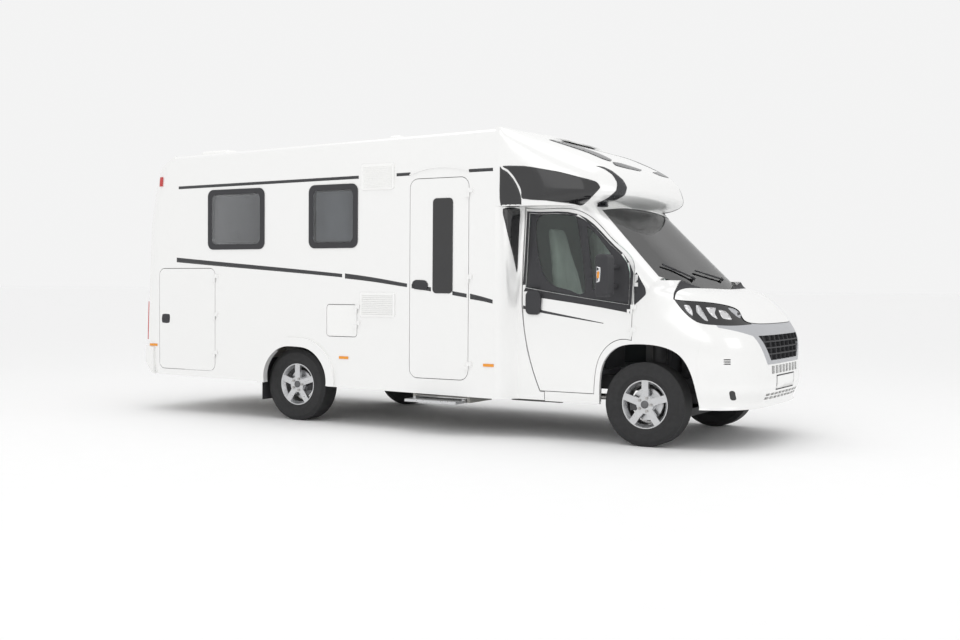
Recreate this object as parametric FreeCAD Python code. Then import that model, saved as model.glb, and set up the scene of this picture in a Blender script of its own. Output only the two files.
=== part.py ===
import FreeCAD, Part
import math
import os

os.makedirs("parts", exist_ok=True)

V = FreeCAD.Vector

# Whole vehicle
length = 6960.0
width = 2330.0
wheelbase = 3750.0
front_overhang = 948.0
front_track = 1790.0
rear_track = 1950.0
overrun = 60.0
fit_gap = 0.3
seat_gap = 0.3
shut_gap = 6.0
outline_samples = 24

# Wheels
tyre_radius = 365.0
tyre_width = 225.0
tyre_shoulder = 42.0
rim_radius = 221.0
rim_flange = 11.0
rim_wall = 9.0
rim_width = 178.0
rim_well_depth = 24.0
spoke_count = 5
spoke_width = 62.0
spoke_thickness = 30.0
wheel_offset = 62.0
hub_radius = 78.0
hub_bore_radius = 33.0
hub_thickness = 26.0
disc_radius = 140.0
disc_thickness = 22.0
disc_inset = 58.0
disc_hat_radius = 84.0

# Steering knuckles and front suspension
kingpin_half_track = 838.0
kingpin_radius = 20.0
kingpin_half_height = 122.0
knuckle_radius = 42.0
stub_radius = 36.0
knuckle_height = 120.0
caliper_length = 120.0
caliper_depth = 62.0
caliper_wall = 14.0
pad_gap = 4.0
steering_arm_length = 150.0
steering_arm_width = 34.0
steering_arm_height = 22.0
link_inner_half = 480.0
link_width = 46.0
link_height = 30.0
link_spread = 130.0
link_eye_radius = 34.0
subframe_width = 300.0
subframe_height = 70.0
subframe_bottom = 205.0
tower_height = 905.0
spring_leg_half_track = 640.0
spring_leg_radius = 27.0
spring_radius = 62.0
spring_height = 250.0

# Ladder frame
rail_half_spacing = 400.0
rail_width = 60.0
rail_height = 130.0
rail_bottom = 430.0
rail_front_ahead = 640.0
rail_rear_behind = 4510.0
tail_rail_front_behind = 4400.0
tail_rail_rear_behind = 5560.0
tail_rail_bottom = 408.0
tail_rail_height = 64.0
tow_hole_radius = 6.5
tow_hole_spread = 640.0
tow_hole_rise = 30.0
cross_member_width = 70.0
cross_member_height = 80.0
cross_member_shares = [0.0, 0.25, 0.48, 0.83, 1.0]

# Rear axle
axle_tube_radius = 42.0
leaf_width = 65.0
leaf_thickness = 24.0
leaf_half_length = 640.0
leaf_camber = 70.0
leaf_half_spacing = 520.0
shackle_width = 30.0

# Heavy and hanging masses
engine_length = 480.0
engine_width = 640.0
engine_height = 560.0
engine_bottom = 330.0
engine_ahead = 320.0
tank_length = 880.0
tank_width = 560.0
tank_height = 210.0
tank_behind = 1900.0
tank_corner = 40.0
exhaust_radius = 28.0
silencer_radius = 85.0
silencer_length = 520.0
silencer_behind = 1020.0
exhaust_drop = 62.0

# Living part: envelope
house_front_behind = 1393.0
house_wall_rear_behind = 5600.0
skirt_bottom_front = 352.0
skirt_bottom_rear = 396.0
skirt_top = 700.0
wall_thickness = 35.0
roof_thickness = 35.0
roof_front_height = 2800.0
roof_rear_height = 2741.0
roof_rear_behind = 5350.0
floor_top = 660.0
floor_thickness = 42.0
garage_floor_top = 520.0
garage_front_behind = 4560.0
house_floor_front_behind = 1250.0
wheel_box_top = 860.0
wheel_box_half_length = 470.0
wheel_box_wall = 12.0
wheel_box_inner_half = 770.0
bed_height = 1560.0
bed_thickness = 30.0

# Rear moulding
rear_corner_radius = 320.0
rear_bulge = 60.0
rear_corner_share = 0.29
rear_bulge_share = 0.8
rear_lean = 260.0
rear_lean_shares = [(-0.06, 0.60), (0.0, 0.35), (0.05, 0.0), (0.163, 0.0), (0.387, 0.07), (0.69, 0.21), (0.79, 0.365),
                    (0.878, 0.54), (0.954, 0.77), (1.05, 1.10)]
rear_crown_shares = [(1.2, 0.66), (0.953, 0.769), (0.766, 0.846), (0.61, 0.897), (0.453, 0.935), (0.297, 0.963),
                     (0.17, 0.980), (0.0, 1.0)]
rear_bottom = 400.0
rear_thickness = wall_thickness
bumper_bottom = 400.0
bumper_top = 690.0
bumper_proud = 22.0
rear_lamp_bottom = 760.0
rear_lamp_height = 420.0
rear_lamp_width = 150.0
rear_lamp_depth = 12.0
rear_lamp_inset = 285.0
top_lamp_behind = 5560.0
top_lamp_length = 44.0
top_lamp_bottom = 2430.0
top_lamp_height = 100.0


# Overcab hood
hood_thickness = 40.0
hood_nose_behind = 240.0
hood_slice_heights = [2098.0, 2130.0, 2200.0, 2290.0, 2390.0, 2490.0, 2590.0, 2680.0, 2755.0, 2815.0]
hood_slice_nose_shares = [0.792, 0.858, 1.0, 0.991, 0.944, 0.833, 0.656, 0.450, 0.241, 0.040]
hood_taper_share = 0.103
hood_power = 4.5
hood_side_power = 3.4
hood_straight = 40.0

# Cab envelope
cab_slice_heights = [345.0, 480.0, 640.0, 800.0, 940.0, 1060.0, 1170.0, 1260.0, 1330.0, 1390.0, 1445.0]
cab_half_widths = [1000.0, 1012.0, 1020.0, 1025.0, 1025.0, 1021.0, 1014.0, 1006.0, 997.0, 987.0, 977.0]
cab_nose_reaches = [893.0, 930.0, 938.5, 932.0, 914.0, 865.0, 784.0, 671.0, 524.0, 340.0, 130.0]
cab_nose_powers = [4.0, 4.0, 4.0, 4.0, 3.8, 3.1, 2.7, 2.9, 3.3, 3.8, 4.0]
cab_side_powers = [3.5, 3.5, 3.5, 3.5, 3.4, 3.1, 3.0, 3.2, 3.5, 3.9, 4.0]
screen_slice_heights = [1180.0, 1260.0, 1320.0, 1400.0, 1520.0, 1700.0, 1900.0, 2060.0, 2150.0]
screen_half_widths = [1014.0, 1006.0, 998.0, 985.0, 966.0, 942.0, 918.0, 899.0, 889.0]
screen_foot_ahead = 304.0
screen_foot_height = 1337.0
screen_rake_share = 1.0103
screen_round_length = 300.0
screen_nose_power = 3.3
screen_side_power = 5.4
cab_rear_behind = 1240.0
cab_wall = 34.0
cab_floor_top = 640.0
cab_floor_thickness = 40.0
sill_inset = 12.0
front_wall_ahead = 60.0
front_wall_thickness = 40.0
front_wall_top = 1180.0
front_arch_rear_behind = 420.0
front_arch_front_ahead = 485.0
front_arch_low = 370.0
front_arch_top = 886.0
front_arch_shares = [(0.0, 0.0), (0.009, 0.37), (0.053, 0.68), (0.181, 0.92), (0.414, 1.0), (0.643, 0.97), (0.824, 0.83),
                     (0.915, 0.60), (0.986, 0.16), (1.0, 0.0)]
front_arch_inner_half = 545.0
glass_thickness = 6.0
glass_inset = 5.0

fender_top_half = 800.0
fairing_shares_out = [(0.0, 1.0), (0.35, 0.88), (0.72, 0.42)]
fairing_share_in = (0.55, 0.38)
fairing_front_behind = 960.0
fairing_gap = 10.0
fairing_heights = [skirt_bottom_front, 800.0, 1180.0, 1520.0, 1800.0, hood_slice_heights[0] - seat_gap]
pillar_foot_low = 1222.0
pillar_foot_ahead = 105.0
pillar_foot_high = 1436.0
screen_base_points = [(-1, 905.0, 1468.0), (-1, 600.0, 1385.0), (1, 0, 1337.0), (1, 600.0, 1385.0), (1, 905.0, 1468.0)]
screen_top_points = [(1, 812.0, 2062.0), (1, 0, 2112.0), (-1, 812.0, 2062.0)]
cowl_recess = 4.0

# Cab door
door_front_behind = 115.0
door_rear_behind = 1217.0
door_bottom = 438.0
door_top = 2090.0
door_thickness = 62.0
door_skin = 22.0
door_step_back = 14.0
door_outline_shares = [
    [(1.0, 1.0), (0.727, 0.993), (0.522, 0.979), (0.380, 0.929), (0.179, 0.805), (0.040, 0.724), (0.0, 0.66)],
    [(0.0, 0.66), (0.0, 0.291)],
    [(0.0, 0.291), (0.167, 0.275), (0.264, 0.207), (0.310, 0.109), (0.325, 0.0)],
    [(0.325, 0.0), (0.801, 0.0)],
    [(0.801, 0.0), (0.872, 0.128), (0.951, 0.363), (0.981, 0.561), (1.0, 1.0)],
]
door_hole_shares = [
    [(0.965, 0.972), (0.727, 0.966), (0.540, 0.952), (0.405, 0.905), (0.205, 0.785), (0.075, 0.705), (0.035, 0.64)],
    [(0.035, 0.64), (0.030, 0.476)],
    [(0.030, 0.476), (0.47, 0.513), (0.955, 0.562)],
    [(0.955, 0.562), (0.965, 0.972)],
]
door_hinge_behind = 112.0
door_hinge_half = 1034.0
door_hinge_heights = [950.0, 1145.0]

# Bonnet, lamps, grille
bonnet_rear_ahead = 255.0
bonnet_edge_shares = [(0.0, 1.0), (0.285, 0.919), (0.572, 0.793), (0.748, 0.520), (0.86, 0.10), (0.95, 0.0), (1.1, -0.02)]
bonnet_edge_base = 1072.0
bonnet_edge_rise = 205.0
bonnet_thickness = 26.0
bonnet_reach = 602.0
cowl_shares = [(0.0, 1.0), (0.28, 0.87), (0.80, 0.43), (1.0, 0.0)]
cowl_depth = 150.0
cowl_half = 985.0
lamp_low_shares = [(0.0, 1.0), (0.17, 0.40), (0.36, 0.035), (0.56, -0.05), (0.80, -0.07), (0.97, 0.0)]
bumper_split_ahead_low = 470.0
bumper_split_low = 700.0
bumper_split_ahead_high = 512.0
bumper_split_high = 1055.0
grille_top_half = 585.0
grille_low_half = 400.0
grille_top = 968.0
grille_low = 752.0
grille_frame = 75.0
grille_sill = 34.0
grille_bar_height = 12.0
grille_bar_pitch = 54.0
grille_rib_width = 10.0
grille_rib_pitch = 130.0
grille_mesh_inset = 30.0
grille_mesh_thickness = 14.0
surround_wing_half = 900.0
surround_wing_height = 1040.0
bumper_slot_rows = [(8, 100.0, 76.0, 634.0, 704.0), (9, 106.0, 88.0, 445.0, 467.0), (9, 106.0, 88.0, 413.0, 435.0)]
side_slat_levels = [733.0, 751.0, 769.0]
side_slat_height = 10.0
side_slat_length = 50.0
side_slat_ahead = 703.0
fog_lamp_ahead = 740.0
fog_lamp_length = 40.0
fog_lamp_bottom = 430.0
fog_lamp_height = 84.0
fog_lamp_corner = 19.0
bumper_corner_inner_half = 780.0

# Entry door
entry_front_behind = 1672.0
entry_rear_behind = 2313.0
entry_bottom = 509.0
entry_top = 2375.0
entry_corner = 85.0
entry_window_front_behind = 1840.0
entry_window_rear_behind = 2058.0
entry_window_bottom = 1305.0
entry_window_top = 2190.0
entry_window_corner = 40.0
hinge_barrel_radius = 9.0
hinge_barrel_height = 40.0
hinge_outset = 13.0
hinge_foot = 40.0
hinge_foot_thickness = 7.0
entry_hinge_heights = [600.0, 1400.0, 2190.0]
gutter_rear_behind = 2318.0
gutter_front_behind = 1670.0
gutter_low = 2414.0
gutter_rise = 58.0
gutter_height = 12.0
gutter_proud = 11.0
gutter_shares = [(0.0, 0.0), (0.25, 0.75), (0.5, 1.0), (0.75, 0.80), (1.0, 0.22)]

# Garage doors and service flap
garage_door_front_behind = 4778.0
garage_door_rear_behind = 5578.0
garage_door_bottom = 465.0
garage_door_top = 1540.0
garage_door_corner = 70.0
garage_hinge_heights = [600.0, 1000.0, 1400.0]
flap_front_behind = 2934.0
flap_rear_behind = 3296.0
flap_bottom = 874.0
flap_top = 1182.0
flap_corner = 30.0
flap_thickness = 20.0
flap_hinge_heights = [950.0, 1105.0]

# House windows and vents
window_corner = 60.0
window_frame = 42.0
window_frame_thickness = 26.0
window_proud = 9.0
pane_thickness = 22.0
rear_window_span = [4858.0, 4113.0]
front_window_span = [3511.0, 2937.0]
window_bottom = 1750.0
window_top = 2352.0
vent_spans = [(2875.0, 2499.0, 2293.0, 2541.0), (2888.0, 2484.0, 1072.0, 1306.0)]
vent_thickness = 12.0
vent_slot_height = 7.0
vent_slot_pitch = 18.0
vent_margin = 22.0
roof_hatch_rows = [(2150.0, 0, 480.0, 110.0, 50.0), (3900.0, 0, 480.0, 110.0, 50.0), (5100.0, 640.0, 400.0, 85.0, 40.0),
                   (2711.0, 800.0, 130.0, 70.0, 30.0)]

# Rear arches, skirts, flaps, markers
arch_offset = 60.0
arch_half_width = 394.0
arch_top = 756.0
arch_moulding = 92.0
arch_proud = 25.0
arch_shares = [(-0.80, 0.27), (-0.42, 0.03), (0.0, 0.0), (0.42, 0.05), (0.78, 0.29)]
mud_flap_behind = 425.0
mud_flap_width = 250.0
mud_flap_thickness = 8.0
mud_flap_bottom = 190.0
marker_height = 26.0
marker_length = 108.0
marker_thickness = 8.0
marker_spots = [(1450.0, 655.0), (3088.0, 665.0), (5668.0, 712.0)]

# Entry step
step_length = 560.0
step_depth = 300.0
step_thickness = 24.0
step_top = 318.0
step_front_behind = 1705.0
step_travel = 250.0
step_rail_height = 34.0
step_rail_width = 26.0
step_outer_half = 1318.0

# Seats, dashboard, steering wheel
seat_half_spacing = 470.0
seat_width = 500.0
seat_depth = 460.0
seat_cushion_bottom = 960.0
seat_cushion_height = 130.0
seat_front_behind = 460.0
seat_back_thickness = 130.0
seat_back_height = 655.0
seat_back_lean_share = 0.22
headrest_width = 270.0
headrest_height = 205.0
seat_base_width = 420.0
seat_base_depth = 380.0
dash_depth = 330.0
dash_front_ahead = 255.0
dash_fall = 50.0
dash_side_gap = 12.0
dash_bottom = 880.0
dash_top = 1330.0
dash_half = 905.0
dash_hood = 120.0
wheel_boss_radius = 70.0
wheel_boss_depth = 60.0
column_length = 420.0
wheel_rim_radius = 192.0
wheel_grip_radius = 15.0
column_radius = 24.0
column_tilt_deg = 62.0
steering_behind = 445.0
steering_height = 1290.0
steering_half_offset = 470.0

# Mirrors and wipers
mirror_width = 195.0
mirror_height = 365.0
mirror_depth = 115.0
mirror_top = 1655.0
mirror_behind = 278.0
mirror_inner_half = 1135.0
mirror_arm_radius = 20.0
mirror_arm_shares = [0.3, 0.75]
wiper_spans = [((-350.0, 1452.0), (-750.0, 1567.0)), ((420.0, 1448.0), (-120.0, 1520.0))]
wiper_boss_radius = 17.0
wiper_radius = 8.0
wiper_stand = 14.0
handle_length = 148.0
handle_height = 215.0
handle_proud = 20.0
handle_bottom = 1122.0

# Places worked out from the sizes above
half_length = length / 2
half_width = width / 2
axle_x = half_length - front_overhang
rear_axle_x = axle_x - wheelbase
front_wheel_y = front_track / 2
rear_wheel_y = rear_track / 2


def behind(distance):
    """Place along the vehicle at a distance behind the front axle."""
    return axle_x - distance


def ahead(distance):
    """Place along the vehicle at a distance ahead of the front axle."""
    return axle_x + distance


def save(name, *shapes):
    """Write the solids of one piece to its file."""
    solids = [s for shape in shapes for s in shape.Solids]
    shape = solids[0] if len(solids) == 1 else Part.makeCompound(solids)
    shape.exportStep("parts/" + name + ".step")
    print(name, len(solids), "valid", shape.isValid(), "volume", round(shape.Volume / 1e6, 2))


def box(x0, x1, y0, y1, z0, z1):
    """Box between two corners given as spans."""
    return Part.makeBox(x1 - x0, y1 - y0, z1 - z0, V(x0, y0, z0))


def chain(runs):
    """Closed wire of runs: two points make a line and more make a smooth curve."""
    edges = []
    for run in runs:
        if len(run) == 2:
            edges.append(Part.makeLine(run[0], run[1]))
        else:
            curve = Part.BSplineCurve()
            curve.interpolate(run)
            edges.append(curve.toShape())
    return Part.Wire(edges)


def polygon(points):
    """Closed wire with straight sides."""
    return Part.makePolygon(points + [points[0]])


def pull(wire, direction):
    """Solid of a flat closed wire pulled along a direction."""
    return Part.Face(wire).extrude(direction)


def across(wire, y0, y1):
    """Solid of a side view wire pulled between two places across the vehicle."""
    moved = wire.translated(V(0, y0, 0))
    return pull(moved, V(0, y1 - y0, 0))


def fillet_where(shape, radius, test):
    """Round the edges of a shape that pass a test."""
    edges = [edge for edge in shape.Edges if test(edge)]
    return shape.makeFillet(radius, edges)


def rounded_panel(x0, x1, z0, z1, radius, y0, y1):
    """Upright panel with rounded corners, across the vehicle from y0 to y1."""
    panel = box(x0, x1, min(y0, y1), max(y0, y1), z0, z1)
    thick = abs(y1 - y0)

    def is_corner(edge):
        low = edge.BoundBox
        return abs(low.YLength - thick) < fit_gap and low.XLength < fit_gap and low.ZLength < fit_gap

    return fillet_where(panel, radius, is_corner)


def mirrored(shape):
    """The same shape on the other side of the vehicle."""
    return shape.mirror(V(0, 0, 0), V(0, 1, 0))


def cylinder_y(x, y0, y1, z, radius):
    """Cylinder lying across the vehicle."""
    return Part.makeCylinder(radius, abs(y1 - y0), V(x, min(y0, y1), z), V(0, 1, 0))


def cylinder_between(a, b, radius):
    """Cylinder from one point to another."""
    along = b - a
    return Part.makeCylinder(radius, along.Length, a, along)


def nose_wire(z, rear, start, reach, half, taper, nose_power, side_power):
    """Plan outline of a body: straight sides, then a full round nose, closed at the rear."""
    points = []
    steps = 6
    for i in range(-steps, steps + 1):
        angle = (1 - abs(i) / steps) * math.pi / 2
        along = math.cos(math.pi / 2 - angle) ** (2 / nose_power)
        out = math.sin(math.pi / 2 - angle) ** (2 / side_power)
        side = -1 if i < 0 else 1
        x = start + (reach - start) * along
        points.append(V(x, side * (half - taper * along) * out, z))
    curve = Part.BSplineCurve()
    curve.interpolate(points)
    right = V(rear, -half, z)
    left = V(rear, half, z)
    return Part.Wire([
        Part.makeLine(right, points[0]),
        curve.toShape(),
        Part.makeLine(points[-1], left),
        Part.makeLine(left, right),
    ])


def squeezed(z, low, high, low_drop, high_drop):
    """Height moved inwards from both ends of a stack of sections."""
    share = (z - low) / (high - low)
    return z + low_drop * (1 - share) - high_drop * share


def run_on(rows, step):
    """Rows of sections with one more at each end, a step beyond and in line with the last two."""
    ends = []
    for last, before in ((rows[0], rows[1]), (rows[-1], rows[-2])):
        share = step / abs(last[0] - before[0])
        ends.append([a + (a - b) * share for a, b in zip(last, before)])
    return [ends[0]] + rows + [ends[1]]


def cab_low_form(inset, lid_drop, extra):
    """Solid form of the cab up to the bonnet: skin moved in, top moved down, ends run on."""
    rows = [list(row) for row in zip(cab_slice_heights, cab_half_widths, cab_nose_reaches, cab_nose_powers,
                                     cab_side_powers)]
    for row in rows:
        row[0] = squeezed(row[0], cab_slice_heights[0], cab_slice_heights[-1], 0, lid_drop)
    if extra:
        rows = run_on(rows, extra)
    rear = behind(cab_rear_behind) - extra
    wires = [nose_wire(z, rear, axle_x, ahead(reach) - inset, half - inset, 0, nose_power, side_power)
             for z, half, reach, nose_power, side_power in rows]
    return Part.makeLoft(wires, True, False)


def screen_reach(z):
    """How far ahead of the front axle the windscreen is at a height."""
    return screen_foot_ahead - (z - screen_foot_height) * screen_rake_share


def cab_high_form(inset, extra):
    """Solid form of the windscreen and the cab above the belt line, its ends run on."""
    rows = [list(row) for row in zip(screen_slice_heights, screen_half_widths)]
    if extra:
        rows = run_on(rows, extra)
    wires = []
    for z, half in rows:
        reach = ahead(screen_reach(z)) - inset * math.sqrt(2)
        wires.append(nose_wire(z, behind(cab_rear_behind) - extra, reach - screen_round_length, reach,
                               half - inset, 0, screen_nose_power, screen_side_power))
    return Part.makeLoft(wires, True, False)


def hood_form(inset, rear_extra):
    """Solid form of the moulded hood over the cab."""
    wires = []
    start = behind(house_front_behind)
    span = behind(hood_nose_behind) - start
    for z, share in zip(hood_slice_heights, hood_slice_nose_shares):
        level = squeezed(z, hood_slice_heights[0], hood_slice_heights[-1], inset, inset)
        wires.append(nose_wire(level, start - overrun - rear_extra, start + hood_straight, start + span * share - inset,
                               half_width - inset, half_width * hood_taper_share, hood_power, hood_side_power))
    return Part.makeLoft(wires, True, False)


def shares_to_side(runs, x0, dx, z0, dz):
    """Side view runs from shares of a length and a height."""
    return [[V(x0 + u * dx, 0, z0 + v * dz) for u, v in run] for run in runs]


def door_wire(runs):
    """Side view outline on the cab door."""
    return chain(shares_to_side(runs, behind(door_front_behind), door_front_behind - door_rear_behind,
                                door_bottom, door_top - door_bottom))


def scaled_out(wire, gap):
    """Outline moved outwards by a gap, its smooth sides drawn afresh."""
    edges = []
    for edge in wire.makeOffset2D(gap, 0, False, False, False).OrderedEdges:
        if isinstance(edge.Curve, Part.OffsetCurve):
            curve = Part.BSplineCurve()
            curve.interpolate(edge.discretize(Number=outline_samples))
            edge = curve.toShape()
        edges.append(edge)
    return Part.Wire(edges)


def three_point_arc(a, b, c):
    """Edge of a circle through three points."""
    return Part.Arc(a, b, c).toShape()


def hinge_pair(x, y, heights, toward, side, panel_y):
    """Barrels of an outside hinge: those of the leaf and those of the wall."""
    leaf = []
    wall = []
    for z in heights:
        for part, low, way in ((leaf, z, toward), (wall, z + hinge_barrel_height + fit_gap, -toward)):
            barrel = Part.makeCylinder(hinge_barrel_radius, hinge_barrel_height, V(x, y, low))
            foot_x = sorted((x, x + way * hinge_foot))
            foot_y = sorted((panel_y, y + side * hinge_foot_thickness / 2))
            foot = box(foot_x[0], foot_x[1], foot_y[0], foot_y[1], low, low + hinge_barrel_height)
            clear = Part.makeCylinder(hinge_barrel_radius, hinge_barrel_height, V(x, y, low))
            part.append(barrel.fuse(foot.cut(clear)))
    return leaf, wall


def join(shape, others):
    """One shape fused with others."""
    for other in others:
        shape = shape.fuse(other)
    return shape.removeSplitter()


def cut_all(shape, others):
    """A shape with others cut away."""
    for other in others:
        shape = shape.cut(other)
    return shape


# Wheels
def revolve_about_axle(points, x, z):
    """Ring turned about a wheel's axle from points of radius and place across."""
    wire = polygon([V(x, y, z + radius) for radius, y in points])
    return Part.Face(wire).revolve(V(x, 0, z), V(0, 1, 0), 360)


def tyre(x, y):
    """Tyre with rounded shoulders on its rim."""
    half = tyre_width / 2
    seat = rim_radius - rim_flange + fit_gap
    ring = revolve_about_axle([
        (seat, y - rim_width / 2),
        (seat + tyre_shoulder, y - half),
        (tyre_radius - tyre_shoulder, y - half),
        (tyre_radius, y - half + tyre_shoulder / 2),
        (tyre_radius, y + half - tyre_shoulder / 2),
        (tyre_radius - tyre_shoulder, y + half),
        (seat + tyre_shoulder, y + half),
        (seat, y + rim_width / 2),
    ], x, tyre_radius)
    return ring


def rim(x, y, side):
    """Five spoke rim with its hub and brake disc; side is -1 on the right."""
    z = tyre_radius
    seat = rim_radius - rim_flange
    half = rim_width / 2
    well = seat - rim_well_depth
    barrel = revolve_about_axle([
        (seat, y - half), (seat, y - half + rim_flange), (well, y - half + rim_flange + rim_well_depth),
        (well, y + half - rim_flange - rim_well_depth), (seat, y + half - rim_flange), (seat, y + half),
        (seat - rim_wall, y + half), (well - rim_wall, y + half - rim_flange - rim_well_depth),
        (well - rim_wall, y - half + rim_flange + rim_well_depth), (seat - rim_wall, y - half),
    ], x, z)
    face = y + side * wheel_offset
    hub = cylinder_y(x, face, face + side * hub_thickness, z, hub_radius)
    bore = cylinder_y(x, face - side * overrun, face + side * overrun, z, hub_bore_radius)
    spoke_end = seat - rim_wall / 2
    front = face + side * hub_thickness
    lip = y + side * (half - fit_gap)
    spoke_wire = polygon([
        V(x, face, z + hub_radius - spoke_thickness), V(x, front, z + hub_radius - spoke_thickness),
        V(x, lip, z + spoke_end), V(x, lip - side * spoke_thickness, z + spoke_end),
    ])
    spoke = pull(spoke_wire.translated(V(-spoke_width / 2, 0, 0)), V(spoke_width, 0, 0))
    pieces = [barrel, hub.cut(bore)]
    for i in range(spoke_count):
        turned = spoke.copy()
        turned.rotate(V(x, 0, z), V(0, 1, 0), i * 360 / spoke_count)
        pieces.append(turned)
    disc_y = face - side * disc_inset
    disc = cylinder_y(x, disc_y, disc_y + side * disc_thickness, z, disc_radius)
    hat = cylinder_y(x, disc_y, face, z, disc_hat_radius)
    pieces.append(disc.fuse(hat).cut(bore))
    return join(pieces[0], pieces[1:])


def knuckle(x, side):
    """Steering knuckle with kingpin, stub and brake caliper."""
    z = tyre_radius
    y = side * kingpin_half_track
    face = side * (front_wheel_y + wheel_offset)
    stub_end = face - side * (disc_inset + fit_gap)
    pin = Part.makeCylinder(kingpin_radius, 2 * kingpin_half_height, V(x, y, z - kingpin_half_height))
    block = Part.makeCylinder(knuckle_radius, knuckle_height, V(x, y, z - knuckle_height / 2))
    stub = cylinder_y(x, y, stub_end, z, stub_radius)
    disc_y = face - side * disc_inset
    inner = disc_y - side * (pad_gap + caliper_wall)
    outer = disc_y + side * (disc_thickness + pad_gap + caliper_wall)
    low = x - disc_radius - caliper_wall
    caliper = box(low, low + caliper_depth, min(inner, outer), max(inner, outer),
                  z - caliper_length / 2, z + caliper_length / 2)
    slot = cylinder_y(x, disc_y - side * pad_gap, disc_y + side * (disc_thickness + pad_gap), z,
                      disc_radius + pad_gap)
    bracket = box(low, x, min(y - side * knuckle_radius / 2, inner), max(y - side * knuckle_radius / 2, inner),
                  z - knuckle_radius / 2, z + knuckle_radius / 2)
    arm_y = sorted((y - side * (knuckle_radius + steering_arm_width), y))
    arm = box(x - steering_arm_length, x, arm_y[0], arm_y[1], z - knuckle_height / 2,
              z - knuckle_height / 2 + steering_arm_height)
    return join(pin, [block, stub, caliper.cut(slot), bracket, arm])


def front_axle():
    """Subframe with upper and lower links and the spring legs."""
    x = axle_x
    z = tyre_radius
    body = box(x - subframe_width / 2, x + subframe_width / 2, -link_inner_half, link_inner_half,
               subframe_bottom, subframe_bottom + subframe_height)
    pieces = []
    for side in (-1, 1):
        pin_y = side * kingpin_half_track
        for level in (z - kingpin_half_height - fit_gap - link_height, z + kingpin_half_height + fit_gap):
            wire = polygon([
                V(x - link_spread, side * (link_inner_half - link_width), level),
                V(x + link_spread, side * (link_inner_half - link_width), level),
                V(x + link_width / 2, pin_y, level), V(x - link_width / 2, pin_y, level),
            ])
            pieces.append(pull(wire, V(0, 0, link_height)))
            pieces.append(Part.makeCylinder(link_eye_radius, link_height, V(x, pin_y, level)))
        tower_y = sorted((side * (link_inner_half - link_width), side * (link_inner_half - link_width + rail_width)))
        pieces.append(box(x - link_spread, x + link_spread, tower_y[0], tower_y[1],
                          subframe_bottom, z + kingpin_half_height + link_height))
        leg_y = side * spring_leg_half_track
        foot = z - kingpin_half_height - link_height
        pieces.append(cylinder_between(V(x, leg_y, foot), V(x, leg_y, tower_height), spring_leg_radius))
        pieces.append(Part.makeCylinder(spring_radius, spring_height, V(x, leg_y, tower_height - spring_height)))
    return join(body, pieces)


def rear_axle():
    """Beam axle on leaf springs with shackles, hubs and calipers."""
    x = rear_axle_x
    z = tyre_radius
    face = rear_wheel_y + wheel_offset
    stub = face - disc_inset - fit_gap
    tube = cylinder_y(x, -stub, stub, z, axle_tube_radius)
    pieces = []
    for side in (-1, 1):
        y = side * leaf_half_spacing
        level = z + axle_tube_radius - leaf_thickness / 3
        wire = chain([
            [V(x - leaf_half_length, 0, level + leaf_camber), V(x, 0, level), V(x + leaf_half_length, 0, level + leaf_camber)],
            [V(x + leaf_half_length, 0, level + leaf_camber), V(x + leaf_half_length, 0, level + leaf_camber + leaf_thickness)],
            [V(x + leaf_half_length, 0, level + leaf_camber + leaf_thickness), V(x, 0, level + leaf_thickness),
             V(x - leaf_half_length, 0, level + leaf_camber + leaf_thickness)],
            [V(x - leaf_half_length, 0, level + leaf_camber + leaf_thickness), V(x - leaf_half_length, 0, level + leaf_camber)],
        ])
        pieces.append(across(wire, y - leaf_width / 2, y + leaf_width / 2))
        reach_y = sorted((side * (rail_half_spacing + rail_width / 2), y + side * leaf_width / 2))
        for end in (-1, 1):
            eye_x = x + end * (leaf_half_length - shackle_width / 2)
            pieces.append(box(eye_x - shackle_width / 2, eye_x + shackle_width / 2, reach_y[0], reach_y[1],
                              level + leaf_camber, level + leaf_camber + leaf_thickness + shackle_width))
        disc_y = side * (face - disc_inset)
        inner = disc_y - side * (pad_gap + caliper_wall)
        outer = disc_y + side * (disc_thickness + pad_gap + caliper_wall)
        low = x + disc_radius + caliper_wall - caliper_depth
        caliper = box(low, low + caliper_depth, min(inner, outer), max(inner, outer),
                      z - caliper_length / 2, z + caliper_length / 2)
        slot = cylinder_y(x, disc_y - side * pad_gap, disc_y + side * (disc_thickness + pad_gap), z,
                          disc_radius + pad_gap)
        carrier_y = sorted((inner, inner - side * caliper_wall))
        carrier = box(x, low + caliper_depth, carrier_y[0], carrier_y[1], z - axle_tube_radius / 2,
                      z + axle_tube_radius / 2)
        pieces.append(caliper.cut(slot))
        pieces.append(carrier)
    return join(tube, pieces)


def chassis_frame():
    """Two rails joined by cross members."""
    front = ahead(rail_front_ahead)
    rear = behind(rail_rear_behind)
    tail = behind(tail_rail_rear_behind)
    pieces = []
    for side in (-1, 1):
        y = side * rail_half_spacing
        pieces.append(box(rear, front, y - rail_width / 2, y + rail_width / 2, rail_bottom,
                          rail_bottom + rail_height))
        pieces.append(box(tail, behind(tail_rail_front_behind), y - rail_width / 2, y + rail_width / 2,
                          tail_rail_bottom, tail_rail_bottom + tail_rail_height))
    for share in cross_member_shares:
        x = front - cross_member_width / 2 + (rear - front + cross_member_width) * share
        pieces.append(box(x - cross_member_width / 2, x + cross_member_width / 2, -rail_half_spacing,
                          rail_half_spacing, rail_bottom, rail_bottom + cross_member_height))
    pieces.append(box(tail, tail + cross_member_width, -rail_half_spacing, rail_half_spacing, tail_rail_bottom,
                      tail_rail_bottom + tail_rail_height))
    return join(pieces[0], pieces[1:]).cut(Part.makeCompound(tow_holes()))


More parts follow.
